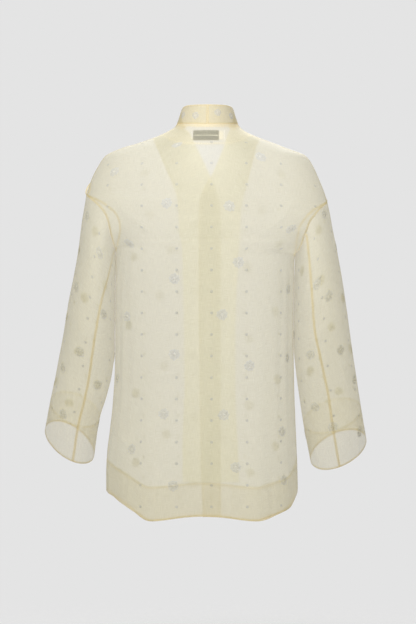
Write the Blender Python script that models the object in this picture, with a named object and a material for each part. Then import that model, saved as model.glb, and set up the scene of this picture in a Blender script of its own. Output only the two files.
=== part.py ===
"""A sheer, hip-length jacket of the kebaya kind, hollow and filled out as it is when worn.

The back faces -Y, the front faces +Y, and the wearer's right side is +X. The origin is in the middle of the
neck opening, level with the neck seam, where the wearer's neck and shoulders carry the garment.

Sizes are in millimetres, and a mesh is turned into metres when it is made. A bearing goes round the body:
0 is its right side seam, 90 degrees the middle of the front, 180 the left side seam and 270 the middle of
the back. The same bearings serve the collar. Heights are measured up from the origin.
"""

import bmesh
import bpy
import numpy as np

NAME = "kebaya"
MM = 0.001

# Thickness of the cloth's walls, and the spaces between them
WALL = 1.2
TURNED_WALL = 2.4
FACING_WALL = 1.0
COLLAR_WALL = 1.6
LABEL_WALL = 0.6
GAP = 0.3
FACING_CLEAR = 0.8
SLEEVE_CLEAR = 0.4

# Where the fronts lap, the right one lies this far inside, and comes out again past the left one's edge
LAP = 4.2
LAP_START = 6.0
LAP_RAMP = 80.0

# Where the turned-up hems end, as shares of the side's and the sleeve's length, and the width of their step
HEM_SHARE = 0.127
CUFF_HEM_SHARE = 0.885
STEP_SHARE = 0.0015
HEM_SHAPE_FADE = 300.0

# How far the front facings stand back from the fronts' edges and from the turned-up hem
FACING_SETBACK = 1.0
FACING_START_SHARE = HEM_SHARE + 0.006

# The woven label and the tab beside it, inside the back
LABEL_LEFT, LABEL_RIGHT = -29.0, 23.0
TAB_LEFT, TAB_RIGHT = 23.8, 31.8
LABEL_BOTTOM, LABEL_TOP = -35.8, -14.6
TAB_BOTTOM, TAB_TOP = -34.6, -16.6

# Fineness of the surfaces
BODY_COLUMNS = 15
SIDE_ROWS = 11
ARMHOLE_STEPS = 8
SHOULDER_ROWS = 14
SLEEVE_ROWS = 17
COLLAR_COLUMNS = 14
COLLAR_ROWS = 4
FACING_COLUMNS = 7
FACING_ROWS = 30
FACING_CROWDING = 1.8
BACK_FACING_ROWS = 4
LABEL_COLUMNS = 8
LABEL_ROWS = 3


def table(names, *rows):
    """Named columns of a table whose first column rises."""
    return dict(zip(names.split(), np.array(rows, float).T))


# The body's sections: how far they reach to the left and right at the back and at the front, measured from
# their middle, how deep they are, and how square. Beside the armholes it is the reach of the whole oval, with
# the top of the arm in it.
BODY = table(
    "height left_back left_front right_back right_front middle back front square",
    (-820, 194, 194, 188, 188, -6, 131, 134, 2.4),
    (-700, 196.5, 196.5, 186, 186, -6, 128, 132, 2.4),
    (-655, 194.5, 194.5, 184.5, 184.5, -6, 126, 131, 2.4),
    (-610, 190, 190, 181.5, 181.5, -5, 124, 130, 2.4),
    (-560, 184.5, 184.5, 179.5, 179.5, -5, 122, 129, 2.4),
    (-500, 182, 182, 177, 177, -4, 121, 129, 2.45),
    (-430, 181, 181, 176, 176, -4, 121, 129, 2.5),
    (-330, 181, 181, 175.5, 175.5, -3, 122, 130, 2.6),
    (-275, 181, 181, 175.5, 175.5, -2, 123, 130, 2.7),
    (-261, 181, 181, 177, 177, -2, 123, 130, 2.7),
    (-249, 182, 182, 191, 186, -2, 123, 130, 2.65),
    (-240, 189, 184, 202, 192, -2, 123, 130, 2.6),
    (-230, 200, 187.5, 214, 200, -2, 122, 130, 2.5),
    (-215, 218.5, 196, 233, 214, -1, 122, 128, 2.4),
    (-200, 236, 207, 247, 227, -1, 121, 127, 2.3),
    (-185, 247, 220, 251, 237, 0, 119, 124, 2.3),
    (-170, 252, 233.5, 247, 240.5, 0, 118, 122, 2.25),
    (-157, 249, 241, 240, 240, 0, 117, 120, 2.25),
    (-143, 242.5, 242.5, 236, 236, 0, 115, 117, 2.2),
    (-111, 232.5, 232.5, 223.5, 223.5, 0, 109, 108, 2.15),
    (-79, 216, 216, 208.5, 208.5, 0, 101, 97, 2.1),
    (-63, 204, 204, 196, 196, 0, 96, 91, 2.1),
    (-47, 170, 170, 156, 156, 0, 90, 84, 2.1),
    (-39, 142, 142, 136, 136, 0, 86, 80, 2.1),
    (-31, 119, 119, 114, 114, 0, 83, 77, 2.05),
    (-23, 98, 98, 94, 94, 0, 79, 73, 2.0),
    (-15, 81, 81, 77, 77, 0, 75, 69, 2.0),
    (-7, 67.5, 67.5, 66.5, 66.5, 0, 71, 65, 2.0),
    (2, 60, 60, 60, 60, 0, 67, 61, 2.0),
)

# Heights of the hem and of the neck seam round the body, by bearing
HEM = table(
    "bearing height",
    (0, -722),
    (13, -742),
    (26, -771),
    (40, -787),
    (61, -804),
    (90, -795),
    (119, -804),
    (130, -788),
    (141, -768),
    (152, -755),
    (180, -730),
    (201, -738),
    (209, -745),
    (219, -754),
    (229, -766),
    (242, -783),
    (270, -773),
    (297, -783),
    (308, -776),
    (321, -769),
    (335, -761),
    (347, -740),
    (360, -722),
)
NECK = table("bearing height", (0, 0), (45, -4), (90, -5), (135, -4), (180, 0), (270, -5), (360, 0))

# The free edges of the fronts: their distance to the wearer's right of the middle
LEFT_EDGE = table(
    "height across",
    (-820, 28),
    (-200, 28),
    (-160, 27),
    (-135, 22),
    (-98, 6),
    (-37, -23.4),
    (-12, -37),
    (-4, -47),
)
RIGHT_EDGE = table(
    "height across",
    (-820, -8.5),
    (-736, -12.3),
    (-526, -15.6),
    (-345, -17.6),
    (-190, -17.4),
    (-146, -15.5),
    (-116, -5),
    (-98, 6),
    (-37, 33.5),
    (-12, 42),
    (-4, 49),
)

# The stitched edges of the facings, which run down the inside of the fronts
LEFT_FACING = table(
    "height across",
    (-820, -50),
    (-650, -51),
    (-526, -47),
    (-435, -48),
    (-250, -51.5),
    (-217, -57),
    (-145, -62),
    (-116, -71),
    (-79, -87),
    (-50, -99),
    (-22, -112),
    (0, -122),
)
RIGHT_FACING = table(
    "height across",
    (-820, 65),
    (-692, 63),
    (-526, 57),
    (-435, 57),
    (-217, 66),
    (-159, 69.5),
    (-137, 74),
    (-112, 81.5),
    (-65, 93.5),
    (-40, 99),
    (-22, 108),
    (0, 116),
)
BACK_FACING = table(
    "from_back height", (0, -46), (15, -43.5), (24, -40), (42, -31), (60, -25), (90, -22)
)

# The collar's rim: its height, and how close it stands to the neck, as a share of its seam's reach
COLLAR = table(
    "from_back height reach",
    (0, 34.5, 0.89),
    (40, 34.5, 0.87),
    (60, 32.5, 0.87),
    (75, 27, 0.87),
    (90, 20, 0.87),
    (105, 12.5, 0.88),
    (120, 4.5, 0.91),
    (135, -1.5, 0.95),
)

# The armholes run from a tip on the upper arm to the underarm, scooped towards the body
ARMHOLES = {
    "left": {"side": -1, "tip": -143, "underarm": -249, "depth": 78, "scoop": (11, 30)},
    "right": {"side": 1, "tip": -157, "underarm": -261, "depth": 78, "scoop": (9, 20)},
}
SCOOP_FADE = 0.2

# The sleeves' rings below the armhole: outer and inner side, then the ring's middle, half depth and tilt
SLEEVES = {
    "left": table(
        "along out_x out_z in_x in_z middle depth tilt",
        (0.05, -246.8, -169, -184.4, -262, -1, 79, 1),
        (0.10, -251, -195, -184.3, -281, -2, 79, 2),
        (0.22, -258, -251, -185.2, -327, -4, 78, 2),
        (0.34, -268, -307, -185.8, -367, -4, 76, 3),
        (0.45, -277.5, -353, -186.2, -407, 0, 73, 6),
        (0.57, -287, -411, -187.2, -455, 10, 69, 11),
        (0.68, -297.5, -461, -192, -498, 25, 65, 18),
        (0.79, -308, -511, -204, -545, 43, 61, 25),
        (0.89, -318.5, -555, -218.5, -590, 65, 59, 30),
        (1.00, -331.5, -615, -230.5, -666, 95, 60, 33),
    ),
    "right": table(
        "along out_x out_z in_x in_z middle depth tilt",
        (0.05, 244.5, -178, 174.9, -275, -1, 79, 1),
        (0.10, 248.5, -201, 174.6, -292, -2, 79, 2),
        (0.22, 258.5, -251, 173.9, -334, -4, 78, 2),
        (0.34, 268, -303, 173.4, -373, -4, 76, 3),
        (0.45, 276, -353, 173.3, -409, 0, 73, 6),
        (0.57, 284, -409, 174.2, -451, 10, 69, 11),
        (0.68, 293, -464, 178.4, -498, 25, 65, 18),
        (0.79, 302, -517, 185, -544, 43, 61, 25),
        (0.89, 311.5, -570, 194.5, -602, 65, 59, 30),
        (1.00, 324, -635, 209.5, -676, 95, 60, 33),
    ),
}

# Soft flutes that fall from the shoulder blades and the bust: where, how wide, how deep, and their length
FLUTES = table(
    "bearing spread depth bottom top",
    (61, 12, 5, -780, -330),
    (90, 10, -2, -780, -420),
    (119, 12, 5, -780, -330),
    (155, 9, -3, -760, -520),
    (205, 9, -3, -760, -500),
    (241, 12, 6, -780, -380),
    (270, 11, -3, -780, -420),
    (299, 12, 6, -780, -380),
    (336, 9, -3, -760, -480),
)

# Soft folds at the bend of the arm: where down and round the sleeve, how far they reach, and how deep
ELBOW_FOLDS = table(
    "along length turn spread depth",
    (0.47, 0.045, 90, 50, -4.5),
    (0.56, 0.04, 105, 55, 3),
    (0.65, 0.045, 80, 45, -4),
    (0.55, 0.12, 270, 60, 3),
)

# Colours of the sheer cloth, its doubled places and the label, with their alpha
MATERIALS = {
    "organza": ((0.80, 0.77, 0.64), 0.55),
    "organza_doubled": ((0.79, 0.74, 0.57), 0.7),
    "woven_label": ((0.36, 0.38, 0.34), 1.0),
    "tape": ((0.84, 0.82, 0.76), 1.0),
}


def smooth(at, xs, ys):
    """A curve through the points that doesn't overshoot between them."""
    at = np.clip(at, xs[0], xs[-1])
    step = np.diff(xs)
    slope = np.diff(ys) / step
    product = slope[1:] * slope[:-1]
    total = np.where(product > 0, slope[1:] + slope[:-1], 1.0)
    inner = np.where(product > 0, 2 * product / total, 0.0)
    tangent = np.concatenate([slope[:1], inner, slope[-1:]])
    k = np.clip(np.searchsorted(xs, at, side="right") - 1, 0, len(step) - 1)
    t = (at - xs[k]) / step[k]
    rise = ys[k] * (1 + 2 * t) * (1 - t) ** 2 + ys[k + 1] * t**2 * (3 - 2 * t)
    lean = tangent[k] * t * (1 - t) ** 2 - tangent[k + 1] * t**2 * (1 - t)
    return rise + lean * step[k]


def ease(t):
    """Rises softly from 0 to 1 as t does."""
    t = np.clip(t, 0, 1)
    return t * t * (3 - 2 * t)


def column(name, height):
    """A column of the body's table at a height."""
    return smooth(height, BODY["height"], BODY[name])


def round_body(rows, bearing):
    """The height that a table of bearings gives, in degrees."""
    return smooth(np.degrees(bearing) % 360, rows["bearing"], rows["height"])


def armhole_frame(hole):
    """An armhole's tip, its underarm, and the direction from their line towards the body, in X and Z."""
    tip, under = (np.array([side_point(hole["side"], z), z]) for z in (hole["tip"], hole["underarm"]))
    along = (under - tip) / np.linalg.norm(under - tip)
    return tip, under, np.array([-hole["side"] * abs(along[1]), abs(along[0])])


def side_point(side, height):
    """The X of the body's side at a height."""
    return column("middle", height) + side * column("left_back" if side < 0 else "right_back", height)


def armhole_heights(hole, face, turn):
    """Heights round an armhole, from its tip at a turn of 0 to its underarm at half a turn."""
    tip, under, inward = armhole_frame(hole)
    scoop = inward[1] * hole["scoop"][face > 0]
    return (tip[1] + under[1]) / 2 + (tip[1] - under[1]) / 2 * np.cos(turn) + scoop * np.sin(turn) ** 2


def armhole_depth(hole, face, height):
    """How far from the middle of the side an armhole's edge lies at a height, towards the back or front."""
    tip, under, inward = armhole_frame(hole)
    middle, reach = (tip[1] + under[1]) / 2, (tip[1] - under[1]) / 2
    scoop = inward[1] * hole["scoop"][face > 0]
    height = np.clip(height, under[1], tip[1])
    part = reach**2 - 4 * scoop * (height - middle - scoop)
    cosine = np.clip((reach - np.sqrt(part)) / (2 * scoop), -1, 1)
    return hole["depth"] * np.sqrt(1 - cosine**2)


def half_width(side, face, height):
    """How far the body reaches from its middle."""
    left = np.where(face < 0, column("left_back", height), column("left_front", height))
    right = np.where(face < 0, column("right_back", height), column("right_front", height))
    return np.where(side < 0, left, right)


def flutes(bearing, height):
    """How far the soft flutes push the cloth out."""
    out = 0.0
    degrees = np.degrees(bearing) % 360
    for at, spread, depth, bottom, top in zip(*FLUTES.values()):
        away = (degrees - at + 180) % 360 - 180
        out = out + depth * np.exp(-((away / spread) ** 2)) * ease((top - height) / (top - bottom))
    return out


def body(bearing, height):
    """Points of the body's outer face."""
    bearing, height = np.broadcast_arrays(bearing, height)
    cosine, sine = np.cos(bearing), np.sin(bearing)
    side, face = np.where(cosine < 0, -1, 1), np.where(sine < 0, -1, 1)
    power = 2 / column("square", height)
    depth = np.where(face > 0, column("front", height), column("back", height))
    x = column("middle", height) + side * half_width(side, face, height) * np.abs(cosine) ** power
    y = face * depth * np.abs(sine) ** power
    out = flutes(bearing, height)
    return np.stack([x + out * cosine, y + out * sine, height + 0 * x], axis=-1)


def normals(surface, first, second, step=0.003, climb=0.003):
    """The outward directions of a surface of two numbers."""
    across = surface(first + step, second) - surface(first - step, second)
    along = surface(first, second + climb) - surface(first, second - climb)
    out = np.cross(across, along)
    return out / np.linalg.norm(out, axis=-1, keepdims=True)


def body_normals(bearing, height):
    """The outward directions of the body's outer face."""
    bearing, height = np.broadcast_arrays(bearing, height)
    return normals(body, bearing, height, climb=0.5)


def bearing_of(across, height, face):
    """The bearing at which the body's face has a given X."""
    middle = column("middle", height)
    side = np.where(across < middle, -1, 1)
    share = np.clip(np.abs(across - middle) / half_width(side, face, height), 0, 1)
    angle = np.arccos(share ** (column("square", height) / 2))
    front = np.where(side > 0, angle, np.pi - angle)
    return front if face > 0 else 2 * np.pi - front


def seam_angle(hole, face, height, gap=GAP):
    """How far round from the side a panel's outer edge lies: half a gap at the side and shoulder seams, and
    at the armhole's edge beside it."""
    depth = column("front" if face > 0 else "back", height)
    beside = (height > hole["underarm"]) & (height < hole["tip"])
    share = (np.where(beside, armhole_depth(hole, face, height), 0) + gap / 2) / depth
    return np.arcsin(share ** (column("square", height) / 2))


def edge_heights(hole, face, low, high):
    """Heights up a panel's outer edge: the side, then the armhole at even steps round it, then the shoulder."""
    armhole = armhole_heights(hole, face, np.linspace(np.pi, 0, ARMHOLE_STEPS + 1))
    side = low + (hole["underarm"] - low) * side_shares()
    shoulder = hole["tip"] + (high - hole["tip"]) * shoulder_shares()
    return np.concatenate([side, armhole[1:-1], shoulder])


def side_shares():
    """Even steps from the hem to the underarm, with two close ones where the turned-up hem ends."""
    above = np.linspace(HEM_SHARE, 1, SIDE_ROWS - 1)[1:]
    return np.concatenate([[0, HEM_SHARE, HEM_SHARE + STEP_SHARE], above])


def shoulder_shares():
    """Steps from the armhole's tip to the neck, closer where the shoulder turns level."""
    return np.sin(np.linspace(0, np.pi / 2, SHOULDER_ROWS + 1)) ** 0.9


def panel_rows(hole, face, bearing):
    """Heights of a panel's rows along one line of it, which runs up to the neck at this bearing."""
    return edge_heights(hole, face, round_body(HEM, bearing), round_body(NECK, bearing))


def lap(height, across):
    """How far the right front lies inside the left one, beside and beyond the left one's edge."""
    edge = smooth(height, LEFT_EDGE["height"], LEFT_EDGE["across"])
    return LAP * (1 - ease((across - edge - LAP_START) / LAP_RAMP))


def inset(bearing, height, by):
    """Points a distance inside the body's outer face."""
    by = np.asarray(by, float)
    return body(bearing, height) - body_normals(bearing, height) * by[..., None]


def mitre(out, plane):
    """Leans wall directions into a plane with this normal, and lengthens them so that the wall keeps its
    thickness."""
    flat = out - (out @ plane)[..., None] * plane
    return flat / (flat**2).sum(axis=-1, keepdims=True)


def add_panel(name, bearing, height, sides, inside=0.0):
    """A panel of the body. Its first and last columns are named in sides where they run up an armhole."""
    out = body_normals(bearing, height)
    for column_, side in sides.items():
        hole = ARMHOLES[side]
        _, _, inward = armhole_frame(hole)
        rows = (height[:, column_] > hole["underarm"] - 0.1) & (height[:, column_] < hole["tip"] + 0.1)
        edge = out[:, column_]
        edge[:, 1] = np.where(rows, edge[:, 1], 0)
        edge /= np.linalg.norm(edge, axis=-1, keepdims=True)
        edge[rows] = mitre(edge[rows], np.array([inward[0], 0, inward[1]]))
    wall = np.where(np.arange(len(height)) < 2, TURNED_WALL, WALL)[:, None, None]
    outer = body(bearing, height) - out * (inside + 0 * height)[..., None]
    return add_cloth(name, "organza", outer, outer - out * wall)


def add_material(name):
    colour, alpha = MATERIALS[name]
    material = bpy.data.materials.new(name)
    material.use_nodes = True
    shader = material.node_tree.nodes["Principled BSDF"]
    shader.inputs["Base Color"].default_value = (*colour, 1)
    shader.inputs["Roughness"].default_value = 0.6
    shader.inputs["Metallic"].default_value = 0.0
    shader.inputs["Alpha"].default_value = alpha
    material.diffuse_color = (*colour, 1)
    return material


def add_cloth(name, material, outer, inner, closed=False):
    """A closed wall of cloth between two grids of points, or round a tube whose last column meets its first."""
    rows, columns = outer.shape[:2]
    index = np.arange(rows * columns).reshape(rows, columns)
    if closed:
        index = np.hstack([index, index[:, :1]])
    face = np.stack([index[:-1, :-1], index[:-1, 1:], index[1:, 1:], index[1:, :-1]], axis=-1)
    quads = [face.reshape(-1, 4), face.reshape(-1, 4)[:, ::-1] + rows * columns]
    rims = [index[0, ::-1], index[-1]]
    if not closed:
        rims += [index[:, 0], index[::-1, -1]]
    for rim in rims:
        inside = rim + rows * columns
        quads.append(np.stack([rim[:-1], rim[1:], inside[1:], inside[:-1]], axis=-1))
    points = np.concatenate([outer.reshape(-1, 3), inner.reshape(-1, 3)]) * MM
    mesh = bpy.data.meshes.new(name)
    mesh.from_pydata(points.tolist(), [], np.concatenate(quads).tolist())
    mesh.materials.append(bpy.data.materials.get(material) or add_material(material))
    face_out(mesh)
    piece = bpy.data.objects.new(name, mesh)
    bpy.data.collections[NAME].objects.link(piece)
    return piece


def face_out(mesh):
    """Turns a closed mesh's faces outwards."""
    shape = bmesh.new()
    shape.from_mesh(mesh)
    bmesh.ops.recalc_face_normals(shape, faces=shape.faces)
    shape.to_mesh(mesh)
    shape.free()
    mesh.shade_smooth()


def add_back():
    """The back, from its left edge through the middle to its right edge."""
    share = np.linspace(0, 1, BODY_COLUMNS + 1)
    bearings, heights = [], []
    for side, hole in ARMHOLES.items():
        outer = np.pi if side == "left" else 2 * np.pi
        lines = outer + (1.5 * np.pi - outer) * share
        low, high = round_body(HEM, lines), round_body(NECK, lines)
        half = np.stack([edge_heights(hole, -1, a, b) for a, b in zip(low, high)], axis=1)
        angle = seam_angle(hole, -1, half[:, 0])[:, None]
        turn = angle + (np.pi / 2 - angle) * share
        bearings.append(np.pi + turn if side == "left" else 2 * np.pi - turn)
        heights.append(half)
    middle = (heights[0][:, -1] + heights[1][:, -1]) / 2
    for half in heights:
        half += (middle - half[:, -1])[:, None] * ease(share)
    bearing = np.hstack([bearings[0], bearings[1][:, -2::-1]])
    height = np.hstack([heights[0], heights[1][:, -2::-1]])
    return add_panel("back", bearing, height, {0: "left", -1: "right"})


def add_front(side, edge, under):
    """A front, from its side to its free edge. The right one lies under the left one where they lap."""
    hole = ARMHOLES[side]
    outer = np.pi if side == "left" else 0.0
    start = panel_rows(hole, 1, outer)
    free = free_heights(hole, edge, start)
    across = smooth(free, edge["height"], edge["across"])
    angle = seam_angle(hole, 1, start)
    first = np.pi - angle if side == "left" else angle
    last = bearing_of(across, free, 1)
    share = np.linspace(0, 1, BODY_COLUMNS + 1)
    bearing = first[:, None] + (last - first)[:, None] * share
    height = start[:, None] + (free - start)[:, None] * share
    below = ease((hole["underarm"] - height) / HEM_SHAPE_FADE)
    hem = round_body(HEM, bearing[0])
    low = start[0] + (free[0] - start[0]) * share
    height = height + below * ((hem - low) * (1 - side_progress(hole, start))[:, None])
    by = lap(height, body(bearing, height)[..., 0]) * under
    return add_panel(f"front_{side}", bearing, height, {0: side}, by)


def side_progress(hole, heights):
    """How far up the side each row lies, from 0 at the hem to 1 at the underarm and above."""
    return np.clip((heights - heights[0]) / (hole["underarm"] - heights[0]), 0, 1)


def free_heights(hole, edge, start):
    """Heights of a front's rows at its free edge, from those at its side."""
    middle = bearing_of(edge["across"][0], edge["height"][0], 1)
    low, high = round_body(HEM, middle), edge["height"][-1]
    side = side_progress(hole, start)
    top = np.clip((start - hole["tip"]) / (start[-1] - hole["tip"]), 0, 1)
    return start + (low - start[0]) * (1 - side) + (high - start[-1]) * top


def add_front_facing(side, edge, stitched, under):
    """The inner facing of a front, from the turned-up hem to the shoulder seam."""
    hole = ARMHOLES[side]
    low = round_body(HEM, bearing_of(edge["across"][0], edge["height"][0], 1))
    low = low + FACING_START_SHARE * (hole["underarm"] - low)
    climb = 1 - np.linspace(1, 0, FACING_ROWS + 1) ** FACING_CROWDING
    height = low + (edge["height"][-1] - low) * climb
    height[-1] -= GAP
    free = smooth(height, edge["height"], edge["across"]) + hole["side"] * FACING_SETBACK
    outer = smooth(height, stitched["height"], stitched["across"])
    seam = seam_angle(hole, 1, height)
    first, last = bearing_of(outer, height, 1), bearing_of(free, height, 1)
    first = np.minimum(first, np.pi - seam) if side == "left" else np.maximum(first, seam)
    share = np.linspace(0, 1, FACING_COLUMNS + 1)
    bearing = first[:, None] + (last - first)[:, None] * share
    height = np.repeat(height[:, None], len(share), axis=1)
    by = WALL + FACING_CLEAR + lap(height, body(bearing, height)[..., 0]) * under
    outer, inner = inset(bearing, height, by), inset(bearing, height, by + FACING_WALL)
    return add_cloth(f"facing_{side}", "organza_doubled", outer, inner)


def add_back_facing():
    """The facing under the collar, inside the back."""
    seam = np.radians(1.2)
    bearing = np.linspace(np.pi + seam, 2 * np.pi - seam, 2 * BODY_COLUMNS + 1)
    from_back = np.degrees(np.abs(bearing - 1.5 * np.pi))
    low = smooth(from_back, BACK_FACING["from_back"], BACK_FACING["height"])
    high = round_body(NECK, bearing) - GAP
    share = np.linspace(0, 1, BACK_FACING_ROWS + 1)[:, None]
    height = low + (high - low) * share
    outer = inset(bearing, height, WALL + FACING_CLEAR)
    inner = inset(bearing, height, WALL + FACING_CLEAR + FACING_WALL)
    return add_cloth("facing_back", "organza_doubled", outer, inner)


def add_label(name, material, left, right, bottom, top):
    """A woven label sewn flat on the inside of the back facing."""
    across = np.linspace(left, right, LABEL_COLUMNS + 1)
    height = np.linspace(bottom, top, LABEL_ROWS + 1)[:, None] + 0 * across
    bearing = bearing_of(across + 0 * height, height, -1)
    by = WALL + FACING_WALL + FACING_CLEAR + 2 * GAP
    outer, inner = inset(bearing, height, by), inset(bearing, height, by + LABEL_WALL)
    return add_cloth(name, material, outer, inner)


def collar(bearing, share):
    """Points of the collar, from its seam at a share of 0 to its rim at 1."""
    from_back = np.degrees(np.abs(bearing - 1.5 * np.pi))
    foot = body(bearing, round_body(NECK, bearing))
    rim = foot * smooth(from_back, COLLAR["from_back"], COLLAR["reach"])[..., None]
    rim[..., 2] = smooth(from_back, COLLAR["from_back"], COLLAR["height"])
    return foot + (rim - foot) * np.asarray(share)[..., None] + (0, 0, 1.5 * GAP)


def add_collar(side):
    """Half of the standing collar, from the seam in the middle of the back to the front edge."""
    back, seam = 1.5 * np.pi, GAP / 2 / 60
    bearing = np.linspace(0.75 * np.pi, back - seam, COLLAR_COLUMNS + 1)
    if side == "right":
        bearing = np.linspace(back + seam, 2.25 * np.pi, COLLAR_COLUMNS + 1)
    bearing, share = np.broadcast_arrays(bearing, np.linspace(0, 1, COLLAR_ROWS + 1)[:, None])
    outer, out = collar(bearing, share), normals(collar, bearing, share)
    out[0] = mitre(out[0], np.array([0, 0, 1]))
    return add_cloth(f"collar_{side}", "organza_doubled", outer, outer - out * COLLAR_WALL)


def armhole_ring(hole, turn):
    """Points round an armhole's edge, from its tip through the front at a quarter turn."""
    points = []
    for face in (1, -1):
        height = armhole_heights(hole, face, turn)
        angle = seam_angle(hole, face, height, gap=0)
        bearing = angle if hole["side"] > 0 else np.pi - angle
        points.append(body(face * bearing, height))
    return np.where(np.sin(turn)[..., None] > 0, *points)


def sleeve(side, turn, along):
    """Points of a sleeve. A turn of 0 is its outer side, and a quarter turn its front; along goes to the cuff."""
    hole, rings = ARMHOLES[side], SLEEVES[side]
    turn, along = np.broadcast_arrays(turn, along)
    tip, under, _ = armhole_frame(hole)
    first = (0, tip[0], tip[1], under[0], under[1], 0, hole["depth"], 0)
    rings = {name: np.append(start, values) for start, (name, values) in zip(first, rings.items())}
    at = {name: smooth(along, rings["along"], values) for name, values in rings.items()}
    fold = elbow_folds(turn, along)
    for name, side_of_ring in (("out_x", hole["side"]), ("in_x", -hole["side"])):
        at[name] = at[name] + side_of_ring * fold
    at["depth"] = at["depth"] + fold
    oval = ring(turn, at)
    start = {name: values[0] for name, values in rings.items()}
    scoop = armhole_ring(hole, turn) - ring(turn, start)
    return oval + scoop * (np.clip(1 - along / SCOOP_FADE, 0, 1) ** 2)[..., None]


def elbow_folds(turn, along):
    """How far the soft folds at the elbow push the sleeve out."""
    out = 0.0
    degrees = np.degrees(turn) % 360
    for at, length, middle, spread, depth in zip(*ELBOW_FOLDS.values()):
        away = (degrees - middle + 180) % 360 - 180
        out = out + depth * np.exp(-(((along - at) / length) ** 2) - (away / spread) ** 2)
    return out


def ring(turn, at):
    """A tilted oval through an outer and an inner point."""
    cosine, sine, tilt = np.cos(turn), np.sin(turn), np.radians(at["tilt"])
    x = (at["out_x"] + at["in_x"]) / 2 + (at["out_x"] - at["in_x"]) / 2 * cosine
    y = at["middle"] + at["depth"] * np.cos(tilt) * sine
    z = (at["out_z"] + at["in_z"]) / 2 + (at["out_z"] - at["in_z"]) / 2 * cosine
    return np.stack([x, y, z + at["depth"] * np.sin(tilt) * sine], axis=-1)


def add_sleeve(side):
    """A sleeve, one piece of cloth closed by its underarm seam."""
    _, _, inward = armhole_frame(ARMHOLES[side])
    turn = np.linspace(0, 2 * np.pi, 2 * ARMHOLE_STEPS, endpoint=False)
    plain = np.linspace(0, 1, SLEEVE_ROWS) ** 1.15 * (CUFF_HEM_SHARE - STEP_SHARE)
    along = np.append(plain, [CUFF_HEM_SHARE, 0.94, 1])
    turn, along = np.broadcast_arrays(turn, along[:, None])
    outer = sleeve(side, turn, along)
    out = normals(lambda a, b: sleeve(side, a, b), turn, along)
    if side == "right":
        out = -out
    plane = np.array([inward[0], 0, inward[1]])
    out[0] = mitre(out[0], plane)
    wall = np.where(along >= CUFF_HEM_SHARE, TURNED_WALL, WALL)[..., None]
    away = (np.clip(1 - along / SLEEVES[side]["along"][0], 0, 1) * SLEEVE_CLEAR)[..., None]
    outer = outer - away * plane
    return add_cloth(f"sleeve_{side}", "organza", outer, outer - out * wall, closed=True)


def build():
    for thing in list(bpy.data.objects):
        bpy.data.objects.remove(thing, do_unlink=True)
    collection = bpy.data.collections.new(NAME)
    bpy.context.scene.collection.children.link(collection)
    add_back()
    add_back_facing()
    add_front("left", LEFT_EDGE, under=False)
    add_front("right", RIGHT_EDGE, under=True)
    add_front_facing("left", LEFT_EDGE, LEFT_FACING, under=False)
    add_front_facing("right", RIGHT_EDGE, RIGHT_FACING, under=True)
    for side in ARMHOLES:
        add_collar(side)
        add_sleeve(side)
    add_label("label", "woven_label", LABEL_LEFT, LABEL_RIGHT, LABEL_BOTTOM, LABEL_TOP)
    add_label("label_tab", "tape", TAB_LEFT, TAB_RIGHT, TAB_BOTTOM, TAB_TOP)


build()
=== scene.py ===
"""The looks of a sheer kebaya jacket: organza in one and two layers, sewn seams and hems, and embroidery.

The shapes are worked out from the same tables as the solids, in millimetres, at a finer step, and made into
metres when a mesh is built. A bearing goes round the body: 0 is its right side seam, 90 degrees the middle
of the front, 180 the left side seam and 270 the middle of the back. Heights are measured up from the origin,
which lies in the middle of the neck opening.
"""

import bpy
import mathutils
import numpy as np
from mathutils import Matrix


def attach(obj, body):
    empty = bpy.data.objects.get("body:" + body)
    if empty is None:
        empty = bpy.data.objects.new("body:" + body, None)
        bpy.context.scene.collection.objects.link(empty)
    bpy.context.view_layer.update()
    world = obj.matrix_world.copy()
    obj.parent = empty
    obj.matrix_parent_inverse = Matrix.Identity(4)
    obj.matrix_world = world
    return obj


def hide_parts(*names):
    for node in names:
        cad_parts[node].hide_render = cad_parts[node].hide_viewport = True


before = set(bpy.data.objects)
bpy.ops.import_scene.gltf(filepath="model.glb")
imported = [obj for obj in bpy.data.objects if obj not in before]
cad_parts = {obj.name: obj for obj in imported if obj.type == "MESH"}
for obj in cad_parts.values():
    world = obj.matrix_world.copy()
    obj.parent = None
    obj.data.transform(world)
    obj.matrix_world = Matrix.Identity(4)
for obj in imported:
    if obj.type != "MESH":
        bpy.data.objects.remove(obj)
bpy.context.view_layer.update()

MM = 0.001

# Spaces between the layers of cloth, and between two pieces at a seam
FACING_CLEAR = 2.0
LABEL_CLEAR = 3.6
HEM_CLEAR = 1.1
COLLAR_CLEAR = 1.3
GAP = 0.3

# How far the fold of a hem and of the collar's rim reaches past the edge of the cloth
HEM_FOLD = 0.45
COLLAR_FOLD = 0.5

# Where the fronts lap, the right one lies this far inside, and comes out again past the left one's edge
LAP = 4.2
LAP_START = 6.0
LAP_RAMP = 80.0

# Where the turned-up hems end, as shares of the side's and the sleeve's length, and how far below the
# underarm a front's rows have taken on the hem's form
HEM_SHARE = 0.127
CUFF_HEM_SHARE = 0.885
HEM_SHAPE_FADE = 300.0

# How far the front facings stand back from the fronts' edges and from the turned-up hem, and by how many
# degrees the back facing stands back from the shoulder seams
FACING_SETBACK = 1.0
FACING_START_SHARE = HEM_SHARE + 0.006
BACK_FACING_SETBACK = 1.2

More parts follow.
